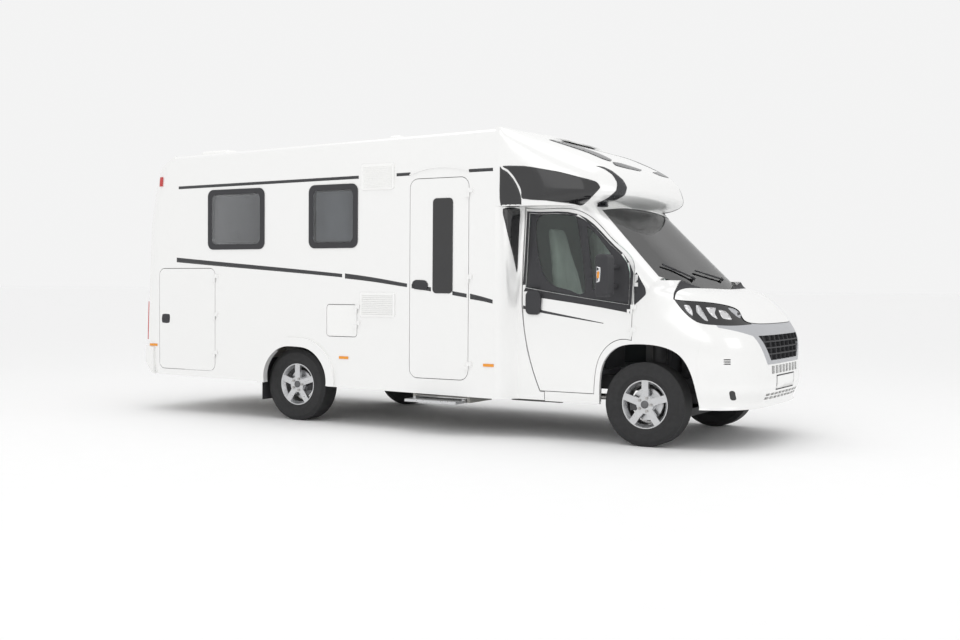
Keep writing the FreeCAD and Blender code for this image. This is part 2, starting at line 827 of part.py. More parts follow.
def tow_holes():
    """Holes for a tow bar in the rear face of the tail cross member."""
    middle = tail_rail_bottom + tail_rail_height / 2
    start = behind(tail_rail_rear_behind) - overrun
    holes = []
    for y in (-tow_hole_spread / 2, tow_hole_spread / 2):
        for z in (middle - tow_hole_rise / 2, middle + tow_hole_rise / 2):
            holes.append(Part.makeCylinder(tow_hole_radius, cross_member_width + 2 * overrun, V(start, y, z), V(1, 0, 0)))
    return holes


def engine_block():
    """Plain engine block between the rails."""
    x = ahead(engine_ahead)
    half = engine_width / 2
    return box(x - engine_length / 2, x + engine_length / 2, -half, half, engine_bottom,
               engine_bottom + engine_height)


def fuel_tank():
    """Moulded tank hung under the floor on the left."""
    x = behind(tank_behind)
    y = rail_half_spacing + rail_width / 2 + shut_gap
    top = floor_top - floor_thickness - seat_gap
    tank = box(x - tank_length, x, y, y + tank_width, top - tank_height, top)
    return tank.makeFillet(tank_corner, tank.Edges)


def exhaust():
    """Pipe and silencer under the right side."""
    y = -(rail_half_spacing + rail_width / 2 + silencer_radius + shut_gap)
    z = rail_bottom - exhaust_drop
    start = behind(silencer_length)
    end = behind(tank_behind + tank_length)
    pipe = cylinder_between(V(start, y, z), V(end, y, z), exhaust_radius)
    middle = behind(silencer_behind)
    silencer = Part.makeCylinder(silencer_radius, silencer_length, V(middle, y, z), V(-1, 0, 0))
    hanger = box(middle - silencer_length / 2, middle - silencer_length / 2 + rail_width, y,
                 -rail_half_spacing - rail_width / 2 - seat_gap, rail_bottom, rail_bottom + rail_width)
    neck = box(middle - silencer_length / 2, middle - silencer_length / 2 + rail_width, y - rail_width / 2,
               y + rail_width / 2, z, rail_bottom + rail_width)
    return join(pipe, [silencer, hanger, neck])


# Living part
def roof_height(x):
    """Height of the roof's top at a place along the vehicle."""
    share = (behind(house_front_behind) - x) / (roof_rear_behind - house_front_behind)
    return roof_front_height + (roof_rear_height - roof_front_height) * share


def skirt_bottom(x):
    """Height of the skirt's lower edge at a place along the vehicle."""
    share = (behind(house_front_behind) - x) / (house_wall_rear_behind - house_front_behind)
    return skirt_bottom_front + (skirt_bottom_rear - skirt_bottom_front) * share


def leaf_panel(span, gap, y0, y1):
    """Rounded panel of a door leaf or its hole from its named span."""
    x_rear, x_front, low, high, corner = span
    return rounded_panel(behind(x_rear) - gap, behind(x_front) + gap, low - gap, high + gap, corner + gap, y0, y1)


entry_span = (entry_rear_behind, entry_front_behind, entry_bottom, entry_top, entry_corner)
garage_span = (garage_door_rear_behind, garage_door_front_behind, garage_door_bottom, garage_door_top,
               garage_door_corner)
flap_span = (flap_rear_behind, flap_front_behind, flap_bottom, flap_top, flap_corner)
window_spans = [
    (rear_window_span[0], rear_window_span[1], window_bottom, window_top, window_corner),
    (front_window_span[0], front_window_span[1], window_bottom, window_top, window_corner),
]


def side_sheet(side, points):
    """Flat side sheet of one wall's thickness from its side view corners."""
    outer = side * half_width
    inner = side * (half_width - wall_thickness)
    return across(polygon(points), min(outer, inner), max(outer, inner))


def wall_sheet(side):
    """Sheet of a side wall up to the roof, rounded off with the rear moulding at its top rear corner."""
    rear = behind(house_wall_rear_behind)
    roof_rear = behind(roof_rear_behind)
    front = behind(house_front_behind)
    sheet = side_sheet(side, [
        V(rear, 0, skirt_top), V(front, 0, skirt_top), V(front, 0, roof_height(front) - roof_thickness),
        V(roof_rear, 0, roof_rear_height - roof_thickness), V(roof_rear, 0, roof_rear_height),
        V(rear, 0, roof_rear_height),
    ])
    corner = box(rear - overrun, roof_rear, -half_width - overrun, half_width + overrun, garage_door_top,
                 roof_front_height)
    return sheet.cut(corner.cut(rear_form(0)))


def skirt_sheet(side):
    """Sheet of a skirt with its sloping lower edge."""
    rear = behind(house_wall_rear_behind)
    front = behind(house_front_behind)
    return side_sheet(side, [V(rear, 0, skirt_bottom(rear)), V(front, 0, skirt_bottom(front)),
                             V(front, 0, skirt_top), V(rear, 0, skirt_top)])


def side_holes(side):
    """Door, flap and window holes of one side."""
    y0 = side * (half_width + overrun)
    y1 = side * (half_width - wall_thickness - overrun)
    spans = [garage_span] + window_spans
    if side < 0:
        spans = spans + [entry_span, flap_span]
    return [leaf_panel(span, shut_gap, y0, y1) for span in spans]


def arch_hole(side, growth):
    """Opening of a rear wheel arch, made larger by a growth."""
    x = rear_axle_x + arch_offset
    half = arch_half_width + growth
    top = arch_top + growth
    low = skirt_bottom_front - overrun
    wire = chain([
        [V(x - half, 0, low), V(x - half, 0, top - half)],
        [V(x - half, 0, top - half)] + [V(x + u * half, 0, top - v * half) for u, v in arch_shares]
        + [V(x + half, 0, top - half)],
        [V(x + half, 0, top - half), V(x + half, 0, low)],
        [V(x + half, 0, low), V(x - half, 0, low)],
    ])
    y0 = side * (half_width + arch_proud + overrun)
    y1 = side * wheel_box_inner_half
    return across(wire, min(y0, y1), max(y0, y1))


def house_wall(side):
    """Side wall of the living part with its holes."""
    wall = wall_sheet(side)
    wall = cut_all(wall, side_holes(side) + [arch_hole(side, arch_moulding / 2)])
    hinges = []
    y = side * (half_width + hinge_outset)
    panel_y = side * half_width
    spans = [(garage_door_front_behind, garage_hinge_heights)]
    if side < 0:
        spans = spans + [(entry_front_behind, entry_hinge_heights), (flap_front_behind, flap_hinge_heights)]
    for place, heights in spans:
        x = behind(place) + shut_gap / 2
        above = [z for z in heights if z > skirt_top]
        hinges = hinges + hinge_pair(x, y, above, -1, side, panel_y)[1]
    if side < 0:
        hinges = hinges + [door_gutter()]
    return join(wall, hinges)


def door_gutter():
    """Arched rain gutter over the entry door."""
    run = gutter_rear_behind - gutter_front_behind
    low = [V(behind(gutter_rear_behind) + u * run, 0, gutter_low + v * gutter_rise) for u, v in gutter_shares]
    high = [p + V(0, 0, gutter_height) for p in reversed(low)]
    wire = chain([low, [low[-1], high[0]], high, [high[-1], low[0]]])
    return across(wire, -half_width - gutter_proud, wall_thickness / 2 - half_width)


def skirt(side):
    """Skirt of one side with the rear arch moulding."""
    sheet = skirt_sheet(side)
    hole = arch_hole(side, 0)
    proud_y = sorted((side * (half_width - wall_thickness), side * (half_width + arch_proud)))
    ring = arch_hole(side, arch_moulding)
    keep = box(ring.BoundBox.XMin - overrun, ring.BoundBox.XMax + overrun, proud_y[0], proud_y[1],
               skirt_bottom(rear_axle_x), ring.BoundBox.ZMax + overrun)
    under_wall = box(ring.BoundBox.XMin - overrun, ring.BoundBox.XMax + overrun,
                     min(side * half_width, side * (half_width - overrun)),
                     max(side * half_width, side * (half_width - overrun)), skirt_top, ring.BoundBox.ZMax + overrun)
    moulding = ring.common(keep).cut(under_wall)
    sheet = sheet.fuse(moulding).cut(hole)
    sheet = cut_all(sheet, side_holes(side))
    hinges = []
    y = side * (half_width + hinge_outset)
    spans = [(garage_door_front_behind, garage_hinge_heights)]
    if side < 0:
        spans = spans + [(entry_front_behind, entry_hinge_heights)]
    for place, heights in spans:
        x = behind(place) + shut_gap / 2
        below = [z for z in heights if z < skirt_top]
        hinges = hinges + hinge_pair(x, y, below, -1, side, side * half_width)[1]
    return join(sheet, hinges)


def roof():
    """Sandwich roof with rounded long edges."""
    rear = behind(roof_rear_behind)
    front = behind(house_front_behind)
    wire = polygon([
        V(rear, 0, roof_height(rear) - roof_thickness), V(front, 0, roof_height(front) - roof_thickness),
        V(front, 0, roof_height(front)), V(rear, 0, roof_height(rear)),
    ])
    panel = across(wire, -half_width, half_width)

    def is_top_edge(edge):
        low = edge.BoundBox
        long_enough = low.XLength > house_wall_rear_behind / 2
        return long_enough and low.ZMax > roof_front_height - fit_gap

    return fillet_where(panel, roof_thickness - fit_gap, is_top_edge)


def rear_outline(inset):
    """Side view solid of the rear moulding, its crown curving down from the roof."""
    front = behind(roof_rear_behind) + inset
    depth = half_length - bumper_proud - inset + front
    top = roof_rear_height - inset
    low = rear_bottom
    crown = [V(front - u * depth, 0, low + (top - low) * v) for u, v in rear_crown_shares]
    foot = low - overrun if inset > 0 else low
    back = V(crown[0].x, 0, foot)
    ahead_foot = V(front, 0, foot)
    wire = chain([crown, [crown[-1], ahead_foot], [ahead_foot, back], [back, crown[0]]])
    return across(wire, -half_width - overrun, half_width + overrun)


def rear_section(rise_share, lean_share, inset):
    """Plan outline of the rear moulding at one height, with rounded corners and a bulge."""
    z = rear_bottom + (roof_rear_height - rear_bottom) * rise_share
    front = behind(roof_rear_behind) + inset
    half = half_width - inset
    end = -half_length + bumper_proud + inset + lean_share * rear_lean
    corner = rear_corner_radius
    near = corner * rear_corner_share
    side_x = end + rear_bulge + corner
    back_x = end + rear_bulge * rear_bulge_share
    turn_x = back_x + (side_x - back_x) * rear_corner_share
    right = (V(side_x, -half, z), V(turn_x, -half + near, z), V(back_x, -half + corner, z))
    left = (V(side_x, half, z), V(turn_x, half - near, z), V(back_x, half - corner, z))
    return Part.Wire([
        Part.makeLine(V(front, -half, z), right[0]), three_point_arc(*right),
        three_point_arc(right[2], V(end, 0, z), left[2]), three_point_arc(*reversed(left)),
        Part.makeLine(left[0], V(front, half, z)), Part.makeLine(V(front, half, z), V(front, -half, z)),
    ])


def rear_form(inset):
    """Solid form of the rear moulding, leaning in towards its crown."""
    sections = [rear_section(rise, lean, inset) for rise, lean in rear_lean_shares]
    return Part.makeLoft(sections, True, True).common(rear_outline(inset))


def rear_shell():
    """Hollow rear moulding with the crown that reaches forward between the walls to the roof."""
    split = behind(house_wall_rear_behind)
    between = half_width - wall_thickness - seat_gap
    top = roof_front_height + overrun
    shell = rear_form(0).cut(rear_form(rear_thickness))
    tail = box(-half_length - overrun, split, -half_width - overrun, half_width + overrun, 0, top)
    crown = box(split - overrun, behind(roof_rear_behind), -between, between, garage_door_top, top)
    return shell.common(tail.fuse(crown))


def hood_shell():
    """Hollow hood over the cab, open below towards the cab roof."""
    rear = behind(house_front_behind)
    reach = half_width + overrun
    low = hood_slice_heights[0] - overrun
    outer = hood_form(0, 0).common(box(rear, half_length, -reach, reach, low, roof_front_height + overrun))
    inner = hood_form(hood_thickness, overrun)
    inner = inner.common(box(rear - overrun, half_length, -reach, reach, low, roof_front_height + overrun))
    shell = outer.cut(inner)
    return shell.cut(cab_high_form(-seat_gap, overrun))


def fairing_section(z):
    """Plan outline of a fairing at one height: along the cab's side, then out to the wall."""
    rear = behind(house_front_behind)
    bend = behind(door_rear_behind) - shut_gap
    front = behind(fairing_front_behind)
    skin = band_half(z) + shut_gap
    inner = skin - cab_wall
    run = bend - rear
    line_out = [V(rear + u * run, skin + v * (half_width - skin), z) for u, v in fairing_shares_out]
    line_out = line_out + [V(bend, skin, z)]
    wall_inner = half_width - wall_thickness
    middle = V(rear + fairing_share_in[0] * run, inner + fairing_share_in[1] * (wall_inner - inner), z)
    line_in = [V(bend, inner, z), middle, V(rear, wall_inner, z)]
    return chain([line_out, [line_out[-1], V(front, skin, z)], [V(front, skin, z), V(front, inner, z)],
                  [V(front, inner, z), line_in[0]], line_in, [line_in[-1], line_out[0]]])


def fairing(side):
    """Curved fairing that follows the door's rear edge and runs out to the side wall."""
    form = Part.makeLoft([fairing_section(z) for z in fairing_heights], True, True)
    solid = biggest(form.cut(door_space(fairing_gap)), 1)
    return mirrored(solid) if side < 0 else solid


def tail_board(low, high, front):
    """Board that fills the plan of the rear moulding between two heights."""
    slab = box(-half_length, front, -half_width, half_width, low, high)
    return rear_form(rear_thickness + seat_gap).common(slab)


def house_floor():
    """Sandwich floor with wheel boxes and the lower garage floor."""
    half = half_width - wall_thickness - seat_gap
    front = behind(house_front_behind)
    neck = cab_half_widths[4] - cab_wall - door_thickness
    step_x = behind(garage_front_behind)
    rear = behind(house_wall_rear_behind)
    main = box(step_x, front, -half, half, floor_top - floor_thickness, floor_top)
    ahead_part = box(front, behind(house_floor_front_behind), -neck, neck, floor_top - floor_thickness, floor_top)
    low = box(rear, step_x, -half, half, garage_floor_top - floor_thickness, garage_floor_top)
    riser = box(step_x, step_x + floor_thickness, -half, half, garage_floor_top - floor_thickness, floor_top)
    back = tail_board(garage_floor_top - floor_thickness, garage_floor_top, rear)
    floor = join(main, [ahead_part, low, riser, back] + step_housing())
    x = rear_axle_x + arch_offset
    for side in (-1, 1):
        outer_y = sorted((side * half, side * (wheel_box_inner_half - wheel_box_wall)))
        inner_y = sorted((side * (half + overrun), side * wheel_box_inner_half))
        shell = box(x - wheel_box_half_length, x + wheel_box_half_length, outer_y[0], outer_y[1],
                    floor_top - floor_thickness, wheel_box_top)
        hollow = box(x - wheel_box_half_length + wheel_box_wall, x + wheel_box_half_length - wheel_box_wall,
                     inner_y[0], inner_y[1], floor_top - floor_thickness - overrun, wheel_box_top - wheel_box_wall)
        floor = floor.fuse(shell).cut(hollow)
    return floor.removeSplitter()


def bed_platform():
    """Bed base over the garage with its front bulkhead."""
    half = half_width - wall_thickness - seat_gap
    front = behind(garage_front_behind)
    rear = behind(roof_rear_behind)
    top = box(rear, front, -half, half, bed_height, bed_height + bed_thickness)
    wall = box(front, front + bed_thickness, -half, half, floor_top + seat_gap, bed_height + bed_thickness)
    return join(top, [wall, tail_board(bed_height, bed_height + bed_thickness, rear)])


def door_leaf(span, side, heights, thickness):
    """Flush leaf with its hinge barrels."""
    y0 = side * half_width
    y1 = side * (half_width - thickness)
    leaf = leaf_panel(span, 0, y0, y1)
    x = behind(span[1]) + shut_gap / 2
    y = side * (half_width + hinge_outset)
    return join(leaf, hinge_pair(x, y, heights, -1, side, y0)[0])


def entry_door():
    """Entry door with its window cut."""
    leaf = door_leaf(entry_span, -1, entry_hinge_heights, wall_thickness)
    hole = rounded_panel(behind(entry_window_rear_behind), behind(entry_window_front_behind), entry_window_bottom,
                         entry_window_top, entry_window_corner, -half_width - overrun,
                         -half_width + wall_thickness + overrun)
    return leaf.cut(hole)


def entry_pane():
    """Narrow dark window of the entry door, seated in its hole."""
    gap = seat_gap
    return rounded_panel(behind(entry_window_rear_behind) + gap, behind(entry_window_front_behind) - gap,
                         entry_window_bottom + gap, entry_window_top - gap, entry_window_corner - gap,
                         -half_width - vent_thickness / 2, -half_width + pane_thickness)


def window_frames():
    """Frames of the side windows."""
    pieces = []
    for side in (-1, 1):
        for x_rear, x_front, low, high, corner in window_spans:
            y0 = side * (half_width + window_proud)
            y1 = side * (half_width + window_proud - window_frame_thickness)
            outer = rounded_panel(behind(x_rear), behind(x_front), low, high, corner, y0, y1)
            grow = shut_gap
            flange = rounded_panel(behind(x_rear) - 2 * grow, behind(x_front) + 2 * grow, low - 2 * grow,
                                   high + 2 * grow, corner + 2 * grow, y0, side * (half_width + seat_gap))
            inner = rounded_panel(behind(x_rear) + window_frame, behind(x_front) - window_frame,
                                  low + window_frame, high - window_frame, corner, y0 + side * overrun,
                                  y1 - side * overrun)
            pieces.append(outer.fuse(flange).cut(inner).removeSplitter())
    return pieces


def window_panes():
    """Acrylic panes of the side windows."""
    pieces = []
    for side in (-1, 1):
        for x_rear, x_front, low, high, corner in window_spans:
            margin = window_frame + seat_gap
            y0 = side * (half_width + window_proud - glass_thickness / 2)
            y1 = y0 - side * pane_thickness
            pieces.append(rounded_panel(behind(x_rear) + margin, behind(x_front) - margin, low + margin,
                                        high - margin, corner - seat_gap, y0, y1))
    return pieces


def side_vents():
    """Slatted covers of the fridge vents."""
    pieces = []
    for x_rear, x_front, low, high in vent_spans:
        cover = rounded_panel(behind(x_rear), behind(x_front), low, high, vent_margin,
                              -half_width - vent_thickness, -half_width - seat_gap)
        slots = []
        z = low + vent_margin
        while z + vent_slot_height < high - vent_margin:
            slots.append(box(behind(x_rear) + vent_margin, behind(x_front) - vent_margin,
                             -half_width - vent_thickness - overrun, -half_width - vent_thickness / 2,
                             z, z + vent_slot_height))
            z += vent_slot_pitch
        pieces.append(cover.cut(Part.makeCompound(slots)))
    return pieces


def roof_hatches():
    """Domed hatches on the roof."""
    pieces = []
    for place, inset, size, height, corner in roof_hatch_rows:
        x = behind(place)
        half = size / 2
        base = roof_height(x) - roof_thickness / 2
        hatch = box(x - half, x + half, -inset - half, half - inset, base, roof_height(x) + height)
        hatch = hatch.makeFillet(corner, [e for e in hatch.Edges if e.BoundBox.ZMax > base + seat_gap])
        pieces.append(hatch.cut(roof()))
    return pieces


def rear_lamps():
    """Lamp clusters on the rear moulding and small lamps at the top of its corners."""
    band = rear_form(-rear_lamp_depth).cut(rear_form(-seat_gap))
    x = behind(top_lamp_behind)
    low_y = half_width - rear_lamp_inset
    blocks = []
    for side in (-1, 1):
        y = sorted((side * low_y, side * (low_y + rear_lamp_width)))
        blocks.append(box(-half_length - overrun, behind(house_wall_rear_behind), y[0], y[1], rear_lamp_bottom,
                          rear_lamp_bottom + rear_lamp_height))
        y = sorted((side * low_y, side * (half_width + overrun)))
        blocks.append(box(x - top_lamp_length / 2, x + top_lamp_length / 2, y[0], y[1], top_lamp_bottom,
                          top_lamp_bottom + top_lamp_height))
    return [band.common(block) for block in blocks]


def mud_flaps():
    """Flaps behind the rear wheels, hung from the floor."""
    pieces = []
    x = rear_axle_x - mud_flap_behind
    for side in (-1, 1):
        y = sorted((side * rear_wheel_y - mud_flap_width / 2, side * rear_wheel_y + mud_flap_width / 2))
        pieces.append(box(x - mud_flap_thickness, x, y[0], y[1], mud_flap_bottom,
                          floor_top - floor_thickness - seat_gap))
    return pieces


def side_markers():
    """Orange marker lamps along the skirts."""
    pieces = []
    for side in (-1, 1):
        for place, level in marker_spots:
            x = behind(place)
            y = sorted((side * (half_width + seat_gap), side * (half_width + marker_thickness)))
            pieces.append(box(x - marker_length / 2, x + marker_length / 2, y[0], y[1], level - marker_height / 2,
                              level + marker_height / 2))
    return pieces


def entry_step():
    """Tread with its two slides."""
    x1 = behind(step_front_behind)
    x0 = x1 - step_length
    y0 = -step_outer_half
    tread = box(x0, x1, y0, y0 + step_depth, step_top - step_thickness, step_top)
    inner = -step_outer_half + step_depth + step_travel + overrun
    slides = []
    for x in (x0, x1 - step_rail_width):
        slides.append(box(x, x + step_rail_width, y0 + step_depth / 2, inner, step_top - step_thickness,
                          step_top - step_thickness + step_rail_height))
    return join(tread, slides)


def step_housing():
    """Walls of the step's housing under the floor."""
    x1 = behind(step_front_behind)
    x0 = x1 - step_length
    wall = step_rail_width
    low = step_top - step_thickness + step_rail_height + shut_gap
    y0 = -half_width + wall_thickness + shut_gap
    y1 = -step_outer_half + step_depth + step_travel + overrun
    pieces = [box(x0 - wall - shut_gap, x1 + wall + shut_gap, y0, y1, low, low + wall / 2)]
    for x in (x0 - wall - shut_gap, x1 + shut_gap):
        pieces.append(box(x, x + wall, y0, y1, step_top - step_thickness, floor_top - floor_thickness))
    return pieces


# Cab
def front_arch(side, growth):
    """Opening for a front wheel, wide enough for full lock."""
    rear = behind(front_arch_rear_behind)
    front = ahead(front_arch_front_ahead)
    rise = front_arch_top - front_arch_low
    line = [V(rear + u * (front - rear), 0, front_arch_low + v * rise) for u, v in front_arch_shares]
    foot = V(0, 0, front_arch_low + overrun)
    wire = chain([line, [line[-1], line[-1] - foot], [line[-1] - foot, line[0] - foot], [line[0] - foot, line[0]]])
    if growth:
        wire = scaled_out(wire, growth)
    return across(wire, side * (half_width + overrun), side * (front_arch_inner_half - growth))


def arches(growth):
    """Both front wheel openings."""
    return [front_arch(-1, growth), front_arch(1, growth)]


def door_space(gap):
    """Space that the cab doors fill, grown by a gap."""
    wire = door_wire(door_outline_shares)
    if gap:
        wire = scaled_out(wire, gap)
    return across(wire, -half_width, half_width)


def bonnet_line(low_points):
    """Side view points of a line given in shares of the bonnet's reach and rise."""
    return [V(ahead(bonnet_rear_ahead) + u * bonnet_reach, 0, bonnet_edge_base + v * bonnet_edge_rise)
            for u, v in low_points]


def bonnet_space(gap):
    """Space that the bonnet fills in side view."""
    edge = bonnet_line(bonnet_edge_shares)
    top = cab_slice_heights[-1] + overrun
    wire = chain([edge, [edge[-1], V(edge[-1].x, 0, top)], [V(edge[-1].x, 0, top), V(edge[0].x, 0, top)],
                  [V(edge[0].x, 0, top), edge[0]]])
    if gap:
        wire = scaled_out(wire, gap)
    return across(wire, -half_width, half_width)


def cowl_space(gap):
    """Plan solid behind the bonnet's rear edge."""
    x0 = ahead(bonnet_rear_ahead)
    points = [V(x0 + u * cowl_depth + gap, -v * cowl_half, 0) for u, v in cowl_shares]
    points = points + [V(p.x, -p.y, 0) for p in reversed(points[:-1])]
    rear = behind(0)
    wire = chain([points, [points[-1], V(rear, cowl_half, 0)], [V(rear, cowl_half, 0), V(rear, -cowl_half, 0)],
                  [V(rear, -cowl_half, 0), points[0]]])
    return pull(wire, V(0, 0, roof_front_height))


def below_cowl(drop):
    """Front view space under the windscreen's foot line, moved down."""
    base = [V(0, side * half, z - drop) for side, half, z in screen_base_points]
    out = V(0, half_width, base[0].z)
    low = V(0, half_width, bonnet_edge_base)
    wire = chain([base, [base[-1], out], [out, low], [low, V(0, -low.y, low.z)], [V(0, -low.y, low.z), V(0, -out.y, out.z)],
                  [V(0, -out.y, out.z), base[0]]])
    return pull(wire.translated(V(behind(door_front_behind), 0, 0)), V(front_overhang, 0, 0))


def lamp_space(gap):
    """Side view space of the headlamps, up past the bonnet's edge."""
    low = bonnet_line(lamp_low_shares)
    top = cab_slice_heights[-1]
    wire = chain([low, [low[-1], V(low[-1].x, 0, top)], [V(low[-1].x, 0, top), V(low[0].x, 0, top)],
                  [V(low[0].x, 0, top), low[0]]])
    if gap:
        wire = scaled_out(wire, gap)
    inner = grille_top_half - gap
    return across(wire, -half_width, -inner).fuse(across(wire, inner, half_width))


def bumper_space(gap):
    """Side view space of the front bumper, up past the lamps."""
    top = cab_slice_heights[-1]
    base = cab_slice_heights[0] - overrun
    nose = ahead(front_overhang + overrun)
    low_x = ahead(bumper_split_ahead_low) - gap
    high_x = ahead(bumper_split_ahead_high) - gap
    points = [V(low_x, 0, base), V(low_x, 0, bumper_split_low), V(high_x, 0, bumper_split_high), V(high_x, 0, top),
              V(nose, 0, top), V(nose, 0, base)]
    return across(polygon(points), -half_width, half_width)


def surround_space(gap):
    """Front view space of the grille surround."""
    top = cab_slice_heights[-1]
    outline = [(surround_wing_half, top), (surround_wing_half, surround_wing_height - gap),
               (grille_top_half + grille_frame + gap, grille_top - gap),
               (grille_low_half + grille_frame + gap, grille_low - grille_sill - gap)]
    points = [V(0, -y, z) for y, z in outline] + [V(0, y, z) for y, z in reversed(outline)]
    return pull(polygon(points).translated(V(ahead(bonnet_reach) - gap, 0, 0)), V(front_overhang, 0, 0))


def grille_hole():
    """Front view opening of the grille."""
    pts = [V(0, -grille_top_half, grille_top), V(0, -grille_low_half, grille_low), V(0, grille_low_half, grille_low),
           V(0, grille_top_half, grille_top)]
    return pull(polygon(pts).translated(V(ahead(bonnet_reach), 0, 0)), V(front_overhang, 0, 0))


def grille_bars():
    """Slabs and ribs that cut the grille's opening into cells."""
    bars = []
    x0 = ahead(bonnet_reach)
    x1 = ahead(front_overhang)
    z = grille_low + grille_bar_pitch - grille_bar_height / 2
    while z + grille_bar_height < grille_top:
        bars.append(box(x0, x1, -grille_top_half, grille_top_half, z, z + grille_bar_height))
        z += grille_bar_pitch
    y = -grille_rib_pitch * math.floor(grille_top_half / grille_rib_pitch)
    while y < grille_top_half:
        bars.append(box(x0, x1, y - grille_rib_width / 2, y + grille_rib_width / 2, grille_low, grille_top))
        y += grille_rib_pitch
    return join(bars[0], bars[1:])


def bumper_slots():
    """Slots across the front bumper and the slats at its corners."""
    slots = []
    for count, pitch, slot_width, low, high in bumper_slot_rows:
        for i in range(count):
            y = (i - (count - 1) / 2) * pitch
            slots.append(box(ahead(bonnet_reach), half_length + overrun, y - slot_width / 2, y + slot_width / 2, low, high))
    x = ahead(side_slat_ahead)
    for side in (-1, 1):
        y = sorted((side * bumper_corner_inner_half, side * half_width))
        for low in side_slat_levels:
            slots.append(box(x - side_slat_length / 2, x + side_slat_length / 2, y[0], y[1], low, low + side_slat_height))
    return Part.makeCompound(slots)


def fog_space(gap):
    """Upright rounded spaces of the fog lamps in the bumper's corners."""
    x = ahead(fog_lamp_ahead)
    half = fog_lamp_length / 2 + gap
    spaces = [rounded_panel(x - half, x + half, fog_lamp_bottom - gap, fog_lamp_bottom + fog_lamp_height + gap,
                            fog_lamp_corner, side * bumper_corner_inner_half, side * half_width) for side in (-1, 1)]
    return Part.makeCompound(spaces)


def biggest(shape, count):
    """The largest solids of a shape, as one compound."""
    solids = sorted(shape.Solids, key=lambda s: -s.Volume)[:count]
    return Part.makeCompound(solids)


def nose_zone(more, low, high):
    """Everything ahead of the doors, with more behind."""
    x = behind(door_front_behind) - overrun - more
    return box(x, half_length + overrun, -half_width, half_width, -overrun - low, roof_front_height + high)


def side_band(inset, thickness):
    """Cab side skin between two insets, straight along the vehicle."""
    rows = [(z, half) for z, half in zip(cab_slice_heights, cab_half_widths) if z < screen_slice_heights[0]]
    rows = rows + list(zip(screen_slice_heights, screen_half_widths))
    outer = [V(0, -half + inset, z) for z, half in rows]
    inner = [V(0, -half + inset + thickness, z) for z, half in reversed(rows)]
    wire = chain([outer, [outer[-1], inner[0]], inner, [inner[-1], outer[0]]])
    rear = behind(door_rear_behind) - overrun
    return pull(wire.translated(V(rear, 0, 0)), V(axle_x - rear, 0, 0))


def door_hinges():
    """Hinge barrels of the right cab door: those of the leaf and those of the fender."""
    panel_y = -screen_half_widths[3]
    return hinge_pair(behind(door_hinge_behind), -door_hinge_half, door_hinge_heights, -1, -1, panel_y)


def cab_door(side):
    """Door leaf of one side with its window hole and hinge barrels."""
    skin = side_band(0, door_skin).common(door_space(0))
    casing = side_band(door_skin / 2, door_thickness - door_skin / 2).common(door_space(-door_step_back))
    leaf = skin.fuse(casing).cut(across(door_wire(door_hole_shares), -half_width, half_width))
    leaf = join(leaf, door_hinges()[0])
    return leaf if side < 0 else mirrored(leaf)


def cab_door_glass(side):
    """Glass that fills the window hole of a cab door."""
    wire = scaled_out(door_wire(door_hole_shares), -seat_gap)
    pane = side_band(glass_inset, glass_thickness).common(across(wire, -half_width, half_width))
    return pane if side < 0 else mirrored(pane)


def fender_space():
    """Side view space of the fenders, from the sills under the doors to the bumper."""
    rear = behind(fairing_front_behind) + shut_gap
    base = cab_slice_heights[0] - overrun
    nose = ahead(front_overhang)
    points = [V(rear, 0, base), V(rear, 0, pillar_foot_low), V(behind(door_front_behind), 0, pillar_foot_low),
              V(ahead(pillar_foot_ahead), 0, pillar_foot_high), V(nose, 0, pillar_foot_high), V(nose, 0, base)]
    return across(polygon(points), -half_width, half_width)


def below_pillars():
    """Side view space below the windscreen pillars."""
    rear = behind(cab_rear_behind) - overrun
    nose = ahead(front_overhang)
    door_x = behind(door_front_behind)
    points = [V(rear, 0, 0), V(rear, 0, pillar_foot_low), V(door_x, 0, pillar_foot_low),
              V(ahead(pillar_foot_ahead), 0, pillar_foot_high), V(nose, 0, pillar_foot_high), V(nose, 0, 0)]
    return across(polygon(points), -half_width, half_width)


def bonnet(low_outer, high_outer):
    """Bonnet skin between the lamps and the cowl."""
    under = cab_low_form(bonnet_thickness, bonnet_thickness, 0).common(nose_zone(0, 0, 0))
    skin = low_outer.common(nose_zone(-overrun, 0, 0)).cut(under)
    return skin.common(bonnet_space(0)).cut(cowl_space(shut_gap)).cut(high_outer)


def cowl_panel(low_shell, low_outer, high_wide):
    """Black panel between bonnet and windscreen, dished down to the windscreen's foot."""
    zone = box(ahead(pillar_foot_ahead), ahead(front_overhang), -half_width, half_width, bumper_split_high,
               roof_front_height)
    space = cowl_space(0).common(bonnet_space(0))
    high = low_shell.common(space).common(below_cowl(cowl_recess))
    dish = below_cowl(cowl_recess).cut(below_cowl(cowl_recess + cab_wall))
    low = low_outer.common(space).common(dish)
    return join(high, [low]).cut(high_wide.common(zone))


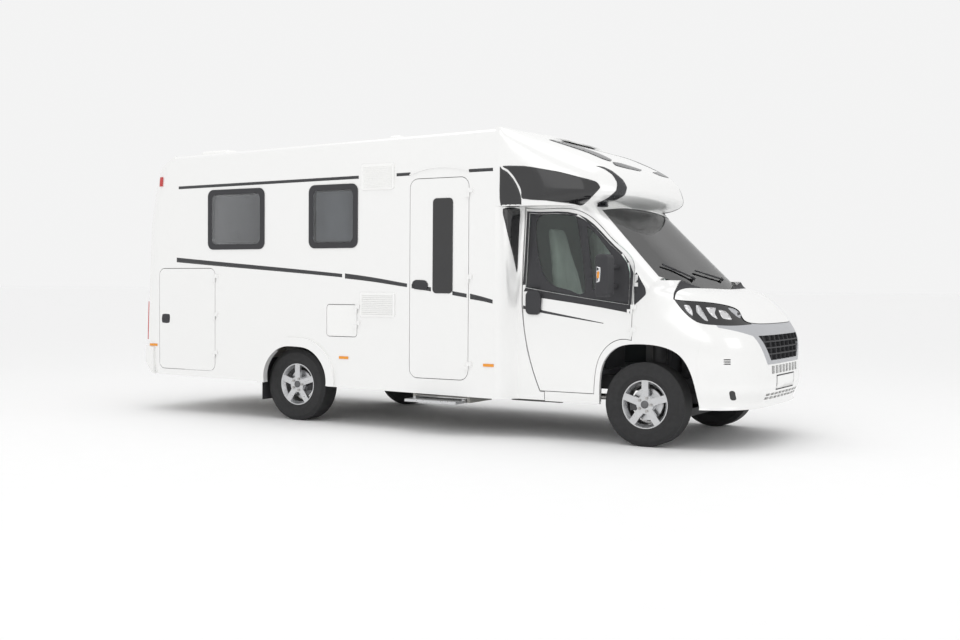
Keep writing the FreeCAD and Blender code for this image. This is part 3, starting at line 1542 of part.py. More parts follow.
def build_cab():
    """Make and save the cab's outer pieces."""
    low_outer = cab_low_form(0, 0, 0)
    sill_run = fairing_front_behind - door_front_behind
    lidded = nose_zone(sill_run, 0, front_overhang)
    hollow = cab_low_form(cab_wall, cab_wall, 0).common(nose_zone(sill_run + overrun, 0, 0))
    low_shell = low_outer.common(lidded).cut(hollow)
    high_outer = cab_high_form(0, 0)
    high_wide = cab_high_form(-seat_gap, 0)
    arch_cut = Part.makeCompound(arches(0))
    save("bonnet", biggest(bonnet(low_outer, high_outer), 1))
    save("cowl_and_wipers", biggest(cowl_panel(low_shell, low_outer, high_wide), 1), *windscreen_wipers())
    under_screen = box(behind(door_front_behind), ahead(bonnet_rear_ahead), -fender_top_half, fender_top_half,
                       bonnet_edge_base, roof_front_height)
    fender = low_shell.common(fender_space()).cut(arch_cut).cut(under_screen)
    fender = cut_all(fender, [door_space(shut_gap), bonnet_space(shut_gap), lamp_space(seat_gap), bumper_space(seat_gap)])
    right = [piece for piece in biggest(fender, 2).Solids if piece.CenterOfMass.y < 0][0]
    right = join(right, door_hinges()[1])
    save("front_fenders", right, mirrored(right))
    face = low_shell.cut(bonnet_space(shut_gap))
    lower = face.cut(lamp_space(seat_gap)).common(bumper_space(0))
    save("headlamps", biggest(face.common(lamp_space(0)), 2), biggest(lower.common(fog_space(0)), 2))
    bumper = cut_all(lower, [surround_space(seat_gap), arch_cut, fog_space(seat_gap), bumper_slots()])
    save("front_bumper", biggest(bumper, 1))
    save("grille_surround", biggest(lower.common(surround_space(0)).cut(grille_hole()), 1))
    back = grille_mesh_inset + grille_mesh_thickness
    mesh = cab_low_form(grille_mesh_inset, 0, 0).common(nose_zone(0, 0, 0))
    mesh = mesh.cut(cab_low_form(back, 0, overrun).common(nose_zone(overrun, 0, 0)))
    bars = low_shell.common(grille_hole()).common(grille_bars())
    save("grille_mesh", biggest(join(mesh.common(grille_hole()), [bars]), 1))

    glass = cab_high_form(glass_inset, 0).cut(cab_high_form(glass_inset + glass_thickness, overrun))
    save("windscreen", biggest(glass.common(screen_space(-seat_gap)), 1))
    frame = high_outer.cut(cab_high_form(cab_wall, overrun)).cut(screen_space(0)).cut(door_space(shut_gap))
    behind_doors = box(behind(cab_rear_behind) - overrun, behind(door_rear_behind), -half_width, half_width, 0,
                       hood_slice_heights[0])
    frame = frame.cut(below_pillars()).cut(behind_doors)
    zone = box(ahead(pillar_foot_ahead), ahead(front_overhang), -half_width, half_width, 0, roof_front_height)
    frame = frame.cut(low_outer.common(zone))
    save("cab_frame", biggest(frame, 1))
    for name, side in (("right", -1), ("left", 1)):
        save("cab_door_" + name, cab_door(side))
        save("cab_door_glass_" + name, cab_door_glass(side))


def screen_space(gap):
    """Front view space of the windscreen."""
    base = [V(0, side * half, z) for side, half, z in screen_base_points]
    top = [V(0, side * half, z) for side, half, z in screen_top_points]
    wire = chain([base, [base[-1], top[0]], top, [top[-1], base[0]]])
    if gap:
        wire = scaled_out(wire, gap)
    rear = behind(house_floor_front_behind)
    return pull(wire.translated(V(rear, 0, 0)), V(half_length - rear, 0, 0))


def screen_at(y, z):
    """Place along the vehicle of the windscreen's surface."""
    share = 1 - (abs(y) / band_half(z)) ** screen_side_power
    return ahead(screen_reach(z)) - screen_round_length * (1 - share ** (1 / screen_nose_power))


def windscreen_wipers():
    """Two wiper blades with their bosses at the windscreen's foot."""
    pieces = []
    out = V(1, 0, 1).normalize()
    for span in wiper_spans:
        foot, tip = [V(screen_at(y, z), y, z) + out * wiper_stand for y, z in span]
        boss = cylinder_between(foot - out * (wiper_stand - seat_gap), foot + out * wiper_radius, wiper_boss_radius)
        pieces.append(boss.fuse(cylinder_between(foot, tip, wiper_radius)))
    return pieces


def mirror_and_handle(side):
    """Mirror on its foot and the grip of one cab door."""
    x = behind(mirror_behind)
    y0 = mirror_inner_half
    head = box(x - mirror_depth / 2, x + mirror_depth / 2, -y0 - mirror_width, -y0, mirror_top - mirror_height, mirror_top)
    head = head.makeFillet(mirror_depth / 3, head.Edges)
    arms = []
    for share in mirror_arm_shares:
        z = mirror_top - mirror_height * share
        arms.append(cylinder_between(V(x, -band_half(z) - seat_gap, z), V(x, -y0 - mirror_arm_radius, z), mirror_arm_radius))
    handle_x = behind(door_rear_behind) + handle_length
    z0 = handle_bottom
    grip = rounded_panel(handle_x - handle_length / 2, handle_x + handle_length / 2, z0, z0 + handle_height,
                         handle_length / 3, -band_half(z0) - handle_proud, -band_half(z0 + handle_height) - seat_gap)
    grip = grip.cut(side_band(-seat_gap, door_thickness))
    head = join(head, [arm.cut(side_band(-seat_gap, door_thickness)) for arm in arms])
    pieces = [head, grip]
    return pieces if side < 0 else [mirrored(piece) for piece in pieces]


def band_half(z):
    """Half width of the cab's side at a height, between its named sections."""
    rows = [(level, half) for level, half in zip(cab_slice_heights, cab_half_widths) if level < screen_slice_heights[0]]
    rows = rows + list(zip(screen_slice_heights, screen_half_widths))
    for (z0, h0), (z1, h1) in zip(rows, rows[1:]):
        if z0 <= z <= z1:
            return h0 + (h1 - h0) * (z - z0) / (z1 - z0)
    return rows[-1][1]


def cab_floor():
    """Cab floor with its sills and the wall in front of the pedals."""
    rear = behind(house_floor_front_behind) + seat_gap
    front = ahead(front_wall_ahead)
    half = cab_half_widths[4] - cab_wall - door_thickness
    floor = box(rear, front, -half, half, cab_floor_top - cab_floor_thickness, cab_floor_top)
    wall = box(front - front_wall_thickness, front, -half, half, cab_floor_top, front_wall_top)
    cuts = arches(overrun / 2)
    sills = []
    for side in (-1, 1):
        y = sorted((side * half, side * (cab_half_widths[0] - cab_wall - shut_gap)))
        x0 = behind(door_rear_behind)
        x1 = behind(front_arch_rear_behind) - shut_gap
        sills.append(box(x0, x1, y[0], y[1], cab_slice_heights[0] + sill_inset, door_bottom - shut_gap))
        riser = sorted((side * half, side * (half - cab_wall)))
        sills.append(box(x0, x1, riser[0], riser[1], cab_slice_heights[0] + sill_inset, cab_floor_top - cab_floor_thickness))
    return cut_all(join(floor, [wall] + sills + seat_bases()), cuts)


def dashboard():
    """Dashboard moulding that runs forward under the windscreen."""
    rear = behind(dash_depth)
    wall = ahead(front_wall_ahead) - front_wall_thickness - seat_gap
    shelf = front_wall_top + seat_gap
    front = ahead(dash_front_ahead)
    low = across(polygon([V(rear, 0, dash_bottom), V(rear, 0, shelf), V(wall, 0, shelf),
                          V(wall, 0, dash_bottom + dash_hood)]), -dash_half, dash_half)
    high = across(chain([
        [V(rear, 0, shelf), V(rear, 0, dash_top - dash_hood)],
        [V(rear, 0, dash_top - dash_hood), V(rear + dash_hood, 0, dash_top), V(front, 0, dash_top - dash_fall)],
        [V(front, 0, dash_top - dash_fall), V(front, 0, shelf)],
        [V(front, 0, shelf), V(rear, 0, shelf)],
    ]), -half_width, half_width)
    high = high.common(cab_high_form(door_thickness + dash_side_gap, 0))
    return join(low, [high]).cut(column_hole())


def steering_wheel():
    """Rim, spokes and column of the steering wheel."""
    tilt = math.radians(column_tilt_deg)
    axis = V(-math.cos(tilt), 0, math.sin(tilt))
    centre = V(behind(steering_behind), steering_half_offset, steering_height)
    ring = Part.makeTorus(wheel_rim_radius, wheel_grip_radius, centre, axis)
    boss = Part.makeCylinder(wheel_boss_radius, wheel_boss_depth, centre - axis * wheel_boss_depth, axis)
    cross = V(0, 1, 0)
    down = axis.cross(cross)
    arms = [cylinder_between(centre - axis * wheel_boss_depth / 2, centre + way * wheel_rim_radius, wheel_grip_radius)
            for way in (cross, cross * -1, down)]
    column = cylinder_between(centre - axis * column_length, centre, column_radius)
    return join(ring, [boss, column] + arms)


def column_hole():
    """Clear bore for the steering column through the dashboard."""
    tilt = math.radians(column_tilt_deg)
    axis = V(-math.cos(tilt), 0, math.sin(tilt))
    centre = V(behind(steering_behind), steering_half_offset, steering_height)
    return cylinder_between(centre - axis * (column_length + overrun), centre + axis * overrun, column_radius + seat_gap * 2)


def cab_seats():
    """Two plain seats: cushion, leaning back and headrest each."""
    pieces = []
    for side in (-1, 1):
        y = side * seat_half_spacing
        half = seat_width / 2
        front = behind(seat_front_behind)
        z = seat_cushion_bottom
        lean = seat_back_lean_share
        back_x = front - seat_depth
        cushion = box(back_x, front, y - half, y + half, z, z + seat_cushion_height)
        rest_z = z + seat_cushion_height + seat_back_height
        rest_x = back_x - lean * seat_back_height - seat_back_thickness
        wire = polygon([
            V(back_x, 0, z), V(back_x, 0, z + seat_cushion_height), V(rest_x + seat_back_thickness, 0, rest_z),
            V(rest_x, 0, rest_z), V(back_x - seat_back_thickness, 0, z),
        ])
        back = across(wire, y - half, y + half)
        rest = box(rest_x, rest_x + seat_back_thickness, y - headrest_width / 2, y + headrest_width / 2, rest_z,
                   rest_z + headrest_height)
        pieces.append(join(cushion, [back, rest]))
    return pieces


def seat_bases():
    """Boxes that carry the seats on the cab floor."""
    pieces = []
    for side in (-1, 1):
        y = side * seat_half_spacing
        x1 = behind(seat_front_behind) - (seat_depth - seat_base_depth) / 2
        pieces.append(box(x1 - seat_base_depth, x1, y - seat_base_width / 2, y + seat_base_width / 2,
                          cab_floor_top, seat_cushion_bottom - seat_gap))
    return pieces


def rear_bumper():
    """Bumper across the rear moulding."""
    outer = rear_form(-bumper_proud)
    inner = rear_form(-seat_gap)
    band = box(-half_length - overrun, behind(house_wall_rear_behind) - overrun, -half_width - overrun,
               half_width + overrun, bumper_bottom, bumper_top)
    return outer.cut(inner).common(band)


def build_running_gear():
    """Make and save the wheels, axles, frame and heavy masses."""
    for name, x, y in (("front_right", axle_x, -front_wheel_y), ("front_left", axle_x, front_wheel_y),
                       ("rear_right", rear_axle_x, -rear_wheel_y), ("rear_left", rear_axle_x, rear_wheel_y)):
        side = -1 if y < 0 else 1
        save("tyre_" + name, tyre(x, y))
        save("rim_" + name, rim(x, y, side))
    left_knuckle = knuckle(axle_x, 1)
    save("knuckle_right", mirrored(left_knuckle))
    save("knuckle_left", left_knuckle)
    save("front_axle", front_axle())
    save("rear_axle", rear_axle())
    save("chassis_frame", chassis_frame())
    save("engine_block", engine_block())
    save("fuel_tank", fuel_tank())
    save("exhaust", exhaust())


def build_house():
    """Make and save the living part."""
    save("house_floor", house_floor())
    save("bed_platform", bed_platform())
    for name, side in (("right", -1), ("left", 1)):
        save("wall_" + name, house_wall(side))
        save("skirt_" + name, skirt(side))
    save("roof", roof())
    save("rear_moulding", rear_shell())
    save("rear_bumper", rear_bumper())
    save("rear_lamps", *rear_lamps())
    save("overcab_hood", hood_shell())
    save("side_fairings", fairing(-1), fairing(1))
    save("window_frames", *window_frames())
    save("window_panes", *window_panes())
    save("side_vents", *side_vents())
    save("roof_hatches", *roof_hatches())
    save("mud_flaps", *mud_flaps())
    save("side_markers", *side_markers())
    save("entry_door", entry_door())
    save("entry_door_pane", entry_pane())
    save("garage_door_right", door_leaf(garage_span, -1, garage_hinge_heights, wall_thickness))
    save("garage_door_left", door_leaf(garage_span, 1, garage_hinge_heights, wall_thickness))
    save("service_flap", door_leaf(flap_span, -1, flap_hinge_heights, flap_thickness))
    save("entry_step", entry_step())


def build_cab_inside():
    """Make and save the cab floor, seats and controls."""
    save("cab_floor", cab_floor())
    save("dashboard", dashboard())
    save("steering_wheel", steering_wheel())
    save("cab_seats", *cab_seats())
    save("mirror_handle_right", *mirror_and_handle(-1))
    save("mirror_handle_left", *mirror_and_handle(1))


build_running_gear()
build_house()
build_cab_inside()
build_cab()
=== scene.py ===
"""Looks of a motorhome on a van cab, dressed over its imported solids."""

import logging
import math
from collections.abc import Callable
from dataclasses import dataclass, field
from enum import Enum
from itertools import product

import bmesh
import bpy
from mathutils import Matrix, Vector
from mathutils.bvhtree import BVHTree


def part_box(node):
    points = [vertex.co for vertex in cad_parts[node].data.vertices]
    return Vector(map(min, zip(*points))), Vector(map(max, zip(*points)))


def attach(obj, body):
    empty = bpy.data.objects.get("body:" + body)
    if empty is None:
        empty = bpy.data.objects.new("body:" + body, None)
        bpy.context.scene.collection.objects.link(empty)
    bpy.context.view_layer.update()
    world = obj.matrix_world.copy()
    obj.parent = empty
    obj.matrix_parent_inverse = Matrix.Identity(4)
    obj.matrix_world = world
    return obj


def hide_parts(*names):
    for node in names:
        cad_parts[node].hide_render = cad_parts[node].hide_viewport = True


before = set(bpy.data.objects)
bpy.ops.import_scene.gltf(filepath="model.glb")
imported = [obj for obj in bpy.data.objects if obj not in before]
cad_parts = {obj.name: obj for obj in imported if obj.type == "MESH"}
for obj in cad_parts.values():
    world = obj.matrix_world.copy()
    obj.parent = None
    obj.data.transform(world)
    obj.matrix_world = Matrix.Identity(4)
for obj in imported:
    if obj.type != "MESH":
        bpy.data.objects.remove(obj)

log = logging.getLogger("motorhome")

Colour = tuple[float, float, float]
Pair = tuple[float, float]


class Side(Enum):
    """Side of the vehicle, valued by the sign of its place across."""

    RIGHT = -1
    LEFT = 1

    @property
    def word(self) -> str:
        """Name of the side as the nodes spell it."""
        return self.name.lower()


class Grain(Enum):
    """Character of a surface below its colour."""

    GELCOAT = "gelcoat"
    MOULDED = "moulded"
    SMOOTH = "smooth"
    RUBBER = "rubber"
    BRUSHED = "brushed"
    CAST = "cast"
    CLOTH = "cloth"
    RIBBED = "ribbed"
    BOARD = "board"


@dataclass(frozen=True)
class GrainFacts:
    """Numbers that the nodes of a grain take.

    Attributes:
        tone_scale: how fine the change of tone is, per metre.
        bump_scale: how fine the relief is, per metre.
        bump: strength of the relief.
        depth: height of the relief in metres.
        spread: how far the roughness swings.
    """

    tone_scale: float
    bump_scale: float
    bump: float
    depth: float
    spread: float


GRAINS: dict[Grain, GrainFacts] = {
    Grain.GELCOAT: GrainFacts(0.9, 55.0, 0.05, 0.0004, 0.06),
    Grain.MOULDED: GrainFacts(14.0, 900.0, 0.35, 0.0004, 0.08),
    Grain.SMOOTH: GrainFacts(6.0, 90.0, 0.04, 0.0003, 0.05),
    Grain.RUBBER: GrainFacts(26.0, 520.0, 0.45, 0.0006, 0.08),
    Grain.BRUSHED: GrainFacts(30.0, 240.0, 0.16, 0.0003, 0.12),
    Grain.CAST: GrainFacts(11.0, 160.0, 0.6, 0.0015, 0.12),
    Grain.CLOTH: GrainFacts(9.0, 420.0, 0.5, 0.0009, 0.06),
    Grain.RIBBED: GrainFacts(8.0, 26.0, 0.35, 0.0012, 0.03),
    Grain.BOARD: GrainFacts(5.0, 70.0, 0.25, 0.0006, 0.1),
}


DUST = (0.42, 0.38, 0.33, 1.0)
DUST_LEVELS: Pair = (0.3, 0.95)
VEHICLE_MIDDLE = Vector((0.5, 0.0, 1.2))


@dataclass
class Graph:
    """A node tree while it is put together.

    Attributes:
        tree: the tree.
    """

    tree: bpy.types.NodeTree

    def add(self, kind: str, values: dict[int | str, object] | None = None, **options: str) -> bpy.types.Node:
        """Add a node.

        Args:
            kind: its type.
            values: what its inputs take.
            options: its own settings.

        Returns:
            The node.
        """
        node = self.tree.nodes.new(kind)
        for option, choice in options.items():
            setattr(node, option, choice)
        self.fill(node, values or {})
        return node

    def fill(self, node: bpy.types.Node, values: dict[int | str, object]) -> None:
        """Fill a node's inputs.

        Args:
            node: the node.
            values: what its inputs take: a plain value, or the output of another node.
        """
        for name, value in values.items():
            if isinstance(value, bpy.types.NodeSocket):
                self.tree.links.new(value, node.inputs[name])
            else:
                node.inputs[name].default_value = value

    def tones(self, share: bpy.types.NodeSocket, colour: Colour, shares: Pair,
              places: Pair = (0.0, 1.0)) -> bpy.types.NodeSocket:
        """Let a colour swing between a darker and a lighter tone.

        Args:
            share: what the tone follows.
            colour: the mean colour.
            shares: share of the colour at both ends.
            places: where both ends lie.

        Returns:
            The colour.
        """
        ramp = self.add("ShaderNodeValToRGB", {"Fac": share})
        for element, swing, place in zip(ramp.color_ramp.elements, shares, places):
            element.position = place
            element.color = (*[min(1.0, c * swing) for c in colour], 1.0)
        return ramp.outputs["Color"]


@dataclass(frozen=True)
class Finish:
    """An opaque finish whose tone, roughness and relief come from nodes.

    Attributes:
        name: name of the material.
        colour: mean colour.
        roughness: mean roughness.
        grain: character of the surface.
        metallic: share of metal.
        coat: weight of the clear coat.
        sheen: weight of the cloth sheen.
        swing: share by which the tone varies.
        film: strength of the road film near the ground.
        slot: the record's material slot, if it has one; not used.
    """

    name: str
    colour: Colour
    roughness: float
    grain: Grain
    metallic: float = 0.0
    coat: float = 0.0
    sheen: float = 0.0
    swing: float = 0.04
    film: float = 0.0
    slot: str = ""

    def material(self) -> bpy.types.Material:
        """Build the material once and hand it out again after that.

        Returns:
            The material.
        """
        known = bpy.data.materials.get(self.name)
        if known is not None:
            return known
        made = bpy.data.materials.new(self.name)
        made.use_nodes = True
        graph = Graph(made.node_tree)
        facts = GRAINS[self.grain]
        place = graph.add("ShaderNodeTexCoord").outputs["Object"]
        noise = graph.add("ShaderNodeTexNoise", {"Vector": place, "Scale": facts.tone_scale, "Detail": 5.0})
        tone = noise.outputs["Fac"]
        colour = graph.tones(tone, self.colour, (1 - self.swing, 1 + self.swing), (0.3, 0.7))
        if self.film:
            colour = self._road_film(graph, place, colour)
        rough = graph.add("ShaderNodeMapRange", {
            "Value": tone, "To Min": max(0.02, self.roughness - facts.spread),
            "To Max": min(1.0, self.roughness + facts.spread)})
        bump = graph.add("ShaderNodeBump", {
            "Strength": facts.bump, "Distance": facts.depth, "Height": self._relief(graph, place, facts)})
        graph.fill(made.node_tree.nodes["Principled BSDF"], {
            "Metallic": self.metallic, "Coat Weight": self.coat, "Coat Roughness": 0.06,
            "Sheen Weight": self.sheen, "Base Color": colour, "Roughness": rough.outputs["Result"],
            "Normal": bump.outputs["Normal"]})
        return made

    def _relief(self, graph: Graph, place: bpy.types.NodeSocket, facts: GrainFacts) -> bpy.types.NodeSocket:
        """Add the nodes of the relief.

        Args:
            graph: tree of the material.
            place: place on the object.
            facts: numbers of the grain.

        Returns:
            The height.
        """
        if self.grain in (Grain.CLOTH, Grain.RIBBED):
            bend = 0.4 if self.grain is Grain.CLOTH else 0.0
            wave = {"Vector": place, "Scale": facts.bump_scale, "Distortion": bend}
            heights = {number: graph.add("ShaderNodeTexWave", wave, bands_direction=way).outputs["Fac"]
                       for number, way in enumerate(("X", "Z"))}
            return graph.add("ShaderNodeMath", heights, operation="MULTIPLY").outputs["Value"]
        if self.grain is Grain.BRUSHED:
            stretch = graph.add("ShaderNodeMapping", {"Vector": place, "Scale": (1.0, 0.08, 1.0)})
            place = stretch.outputs["Vector"]
        fine = graph.add("ShaderNodeTexNoise", {"Vector": place, "Scale": facts.bump_scale, "Detail": 3.0})
        return fine.outputs["Fac"]

    def _road_film(self, graph: Graph, place: bpy.types.NodeSocket,
                   colour: bpy.types.NodeSocket) -> bpy.types.NodeSocket:
        """Add a faint film of road dust that thins out with height.

        Args:
            graph: tree of the material.
            place: place on the object.
            colour: the clean colour.

        Returns:
            The colour with the film.
        """
        split = graph.add("ShaderNodeSeparateXYZ", {"Vector": place})
        height = graph.add("ShaderNodeMapRange", {
            "Value": split.outputs["Z"], "From Min": DUST_LEVELS[0], "From Max": DUST_LEVELS[1],
            "To Min": self.film, "To Max": 0.0})
        specks = graph.add("ShaderNodeTexNoise", {"Vector": place, "Scale": 7.0, "Detail": 8.0})
        share = graph.add("ShaderNodeMath", {0: height.outputs["Result"], 1: specks.outputs["Fac"]},
                          operation="MULTIPLY")
        mix = graph.add("ShaderNodeMix", {0: share.outputs["Value"], 6: colour, 7: DUST}, data_type="RGBA")
        return mix.outputs[2]


@dataclass(frozen=True)
class Glazing:
    """A clear finish: tinted see-through with a mirror gloss at its grazing angles.

    Attributes:
        name: name of the material.
        tint: colour that passes straight through.
        gloss: roughness of the reflection.
        shine: least share of reflection.
    """

    name: str
    tint: Colour
    gloss: float = 0.02
    shine: float = 0.04

    def material(self) -> bpy.types.Material:
        """Build the material once and hand it out again after that.

        Returns:
            The material.
        """
        known = bpy.data.materials.get(self.name)
        if known is not None:
            return known
        made = bpy.data.materials.new(self.name)
        made.use_nodes = True
        nodes = made.node_tree.nodes
        nodes.remove(nodes["Principled BSDF"])
        graph = Graph(made.node_tree)
        place = graph.add("ShaderNodeTexCoord").outputs["Object"]
        haze = graph.add("ShaderNodeTexNoise", {"Vector": place, "Scale": 2.2, "Detail": 4.0})
        clear = graph.add("ShaderNodeBsdfTransparent",
                          {"Color": graph.tones(haze.outputs["Fac"], self.tint, (0.96, 1.03))})
        gloss = graph.add("ShaderNodeBsdfGlossy", {"Roughness": self.gloss})
        edge = graph.add("ShaderNodeFresnel", {"IOR": 1.45})
        share = graph.add("ShaderNodeMath", {0: edge.outputs["Fac"], 1: self.shine}, operation="MAXIMUM")
        mix = graph.add("ShaderNodeMixShader", {
            0: share.outputs["Value"], 1: clear.outputs[0], 2: gloss.outputs[0]})
        graph.fill(nodes["Material Output"], {"Surface": mix.outputs[0]})
        return made


Look = Finish | Glazing

WHITE = Finish("white_paint", (0.83, 0.835, 0.84), 0.22, Grain.GELCOAT, coat=0.5, swing=0.012, film=0.22,
               slot="white_paint")
WHITE_PLASTIC = Finish("white_plastic", (0.8, 0.8, 0.8), 0.33, Grain.GELCOAT, coat=0.2, swing=0.02, film=0.25,
                       slot="white_plastic")
BLACK = Finish("black_plastic", (0.012, 0.012, 0.013), 0.5, Grain.MOULDED, swing=0.15, slot="black_plastic")
GLOSS_BLACK = Finish("gloss_black", (0.011, 0.011, 0.012), 0.12, Grain.SMOOTH, coat=0.6, swing=0.1)
STRIPE = Finish("dark_stripe", (0.022, 0.023, 0.026), 0.28, Grain.SMOOTH, coat=0.3, swing=0.08)
GREY = Finish("grey_plastic", (0.24, 0.245, 0.255), 0.34, Grain.MOULDED, coat=0.2, swing=0.06,
              slot="grey_plastic")
TYRE = Finish("tyre_rubber", (0.021, 0.021, 0.022), 0.74, Grain.RUBBER, swing=0.25, slot="tyre")
ALLOY = Finish("wheel_alloy", (0.6, 0.605, 0.615), 0.3, Grain.BRUSHED, metallic=0.92, coat=0.3, swing=0.05,
               slot="alloy")
DARK_ALLOY = Finish("dark_alloy", (0.16, 0.162, 0.168), 0.42, Grain.CAST, metallic=0.8, swing=0.12)
STEEL = Finish("brushed_steel", (0.45, 0.44, 0.43), 0.38, Grain.BRUSHED, metallic=0.95, swing=0.1,
               slot="steel")
CHASSIS = Finish("chassis_paint", (0.03, 0.03, 0.032), 0.55, Grain.CAST, swing=0.25, slot="chassis")
IRON = Finish("cast_iron", (0.09, 0.09, 0.095), 0.6, Grain.CAST, metallic=0.6, swing=0.3, slot="engine")
RED = Finish("red_lens", (0.5, 0.015, 0.012), 0.14, Grain.RIBBED, coat=0.7, swing=0.08, slot="red_lens")
ORANGE = Finish("orange_lens", (0.9, 0.27, 0.02), 0.16, Grain.RIBBED, coat=0.7, swing=0.08,
                slot="orange_lens")
CLOTH = Finish("seat_cloth", (0.5, 0.495, 0.46), 0.85, Grain.CLOTH, sheen=0.35, swing=0.09,
               slot="seat_fabric")
BOARD = Finish("floor_board", (0.16, 0.15, 0.14), 0.62, Grain.BOARD, swing=0.16, slot="floor_board")
TRIM = Finish("cab_trim", (0.075, 0.077, 0.082), 0.62, Grain.MOULDED, swing=0.12)
CHROME = Finish("bright_trim", (0.72, 0.72, 0.73), 0.12, Grain.SMOOTH, metallic=1.0, swing=0.03)
GLASS = Glazing("cab_glass", (0.90, 0.96, 0.94))
SCREEN = Glazing("screen_glass", (0.93, 0.98, 0.97), 0.02, 0.2)
ACRYLIC = Glazing("tinted_acrylic", (0.84, 0.85, 0.86), 0.04, 0.06)
BLIND = Finish("blind_cloth", (0.36, 0.37, 0.385), 0.85, Grain.CLOTH, swing=0.05)
BLIND_DARK = Finish("dark_blind_cloth", (0.19, 0.19, 0.195), 0.85, Grain.CLOTH, swing=0.08)

NODE_FINISHES: dict[Look, str] = {
    BOARD: "bed_platform house_floor",
    TRIM: "cab_floor dashboard steering_wheel",
    WHITE: ("cab_frame front_bumper front_fenders overcab_hood rear_moulding roof side_fairings "
            "skirt_left skirt_right wall_left wall_right cab_door_left cab_door_right entry_door "
            "garage_door_left garage_door_right bonnet"),
    CLOTH: "cab_seats",
    CHASSIS: "chassis_frame front_axle rear_axle",
    BLACK: ("cowl_and_wipers fuel_tank grille_mesh mud_flaps window_frames mirror_handle_left "
            "mirror_handle_right"),
    IRON: "engine_block knuckle_left knuckle_right",
    STEEL: "exhaust",
    GREY: "grille_surround",
    GLOSS_BLACK: "headlamps entry_door_pane",
    WHITE_PLASTIC: "rear_bumper roof_hatches side_vents service_flap",
    RED: "rear_lamps",
    ORANGE: "side_markers",
    ACRYLIC: "window_panes",
    SCREEN: "windscreen",
    GLASS: "cab_door_glass_left cab_door_glass_right",
    ALLOY: "entry_step",
}


def mesh_object(name: str, verts: list[Vector], faces: list[tuple[int, ...]], finish: Look,
                body: str, crease: float = 35.0, weld: float = 1e-5, recalc: bool = True) -> bpy.types.Object:
    """Make a piece from points and faces, welded, facing outwards, with its sharp edges kept.

    Args:
        name: name of the piece.
        verts: points in the shared frame.
        faces: point numbers of each face.
        finish: what it is made of.
        body: the body it rides on.
        crease: angle in degrees past which an edge stays sharp.
        weld: distance within which points merge.
        recalc: whether the normals are worked out afresh.

    Returns:
        The piece.
    """
    shape = bmesh.new()
    points = [shape.verts.new(v) for v in verts]
    for face in faces:
        if len(set(face)) > 2:
            shape.faces.new([points[i] for i in face])
    bmesh.ops.remove_doubles(shape, verts=shape.verts, dist=weld)
    if recalc:
        bmesh.ops.recalc_face_normals(shape, faces=shape.faces)
    mesh = bpy.data.meshes.new(name)
    shape.to_mesh(mesh)
    shape.free()
    return adopt(name, mesh, finish, body, crease)


def adopt(name: str, mesh: bpy.types.Mesh, finish: Look, body: str,
          crease: float = 35.0) -> bpy.types.Object:
    """Make an object of a mesh, dress it and let it ride on its body.

    Args:
        name: name of the piece.
        mesh: its mesh, in the shared frame.
        finish: what it is made of.
        body: the body it rides on.
        crease: angle in degrees past which an edge stays sharp.

    Returns:
        The piece.
    """
    mesh.materials.clear()
    mesh.materials.append(finish.material())
    mesh.shade_smooth()
    mesh.set_sharp_from_angle(angle=math.radians(crease))
    piece = bpy.data.objects.new(name, mesh)
    bpy.context.scene.collection.objects.link(piece)
    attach(piece, body)
    log.info("%s rides on %s", name, body)
    return piece


@dataclass
class Skin:
    """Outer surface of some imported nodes, for placing thin pieces on it.

    Attributes:
        nodes: names of the nodes.
        off: distance across at which rays from the side start.
        tree: search tree of their triangles.
    """

    nodes: tuple[str, ...]
    off: float = 3.0
    tree: BVHTree = field(init=False, repr=False)

    def __post_init__(self) -> None:
        """Gather the nodes' triangles in one search tree."""
        verts, faces = [], []
        for name in self.nodes:
            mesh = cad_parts[name].data
            start = len(verts)
            verts += [v.co.copy() for v in mesh.vertices]
            faces += [[start + i for i in p.vertices] for p in mesh.polygons]
        self.tree = BVHTree.FromPolygons(verts, faces)

    def from_side(self, x: float, z: float, side: Side, lift: float) -> Vector | None:
        """Point on the skin seen straight from one side.

        Args:
            x: place along.
            z: height.
            side: the side it is seen from.
            lift: distance off the skin.

        Returns:
            The point, or None where the skin isn't met.
        """
        beside = side.value * self.off
        return self.hit(Vector((x, beside, z)), Vector((0, -side.value, 0)), lift)

    def hit(self, origin: Vector, direction: Vector, lift: float) -> Vector | None:
        """Point where a ray meets the skin.

        Args:
            origin: start of the ray.
            direction: its way.
            lift: distance off the skin, against the ray.

        Returns:
            The point, or None where the skin isn't met.
        """
        place, normal, _, _ = self.tree.ray_cast(origin, direction)
        if place is None:
            return None
        if normal.dot(direction) > 0:
            normal = -normal
        return place + normal * lift


def smooth_line(points: list[Pair], count: int) -> list[Pair]:
    """Points evenly along a smooth line through a few given ones.

    Args:
        points: the given points.
        count: how many to make.

    Returns:
        The made points.
    """
    spans = [0.0]
    for a, b in zip(points, points[1:]):
        spans.append(spans[-1] + math.dist(a, b))
    made = []
    for i in range(count):
        s = spans[-1] * i / (count - 1)
        k = next((j for j in range(len(points) - 1) if s <= spans[j + 1]), len(points) - 2)
        t = (s - spans[k]) / max(1e-9, spans[k + 1] - spans[k])
        p0, p1 = points[max(0, k - 1)], points[k]
        p2, p3 = points[k + 1], points[min(len(points) - 1, k + 2)]
        made.append(tuple(
            0.5 * (2 * b + (c - a) * t + (2 * a - 5 * b + 4 * c - d) * t * t
                   + (3 * b - a - 3 * c + d) * t ** 3)
            for a, b, c, d in zip(p0, p1, p2, p3)))
    return made


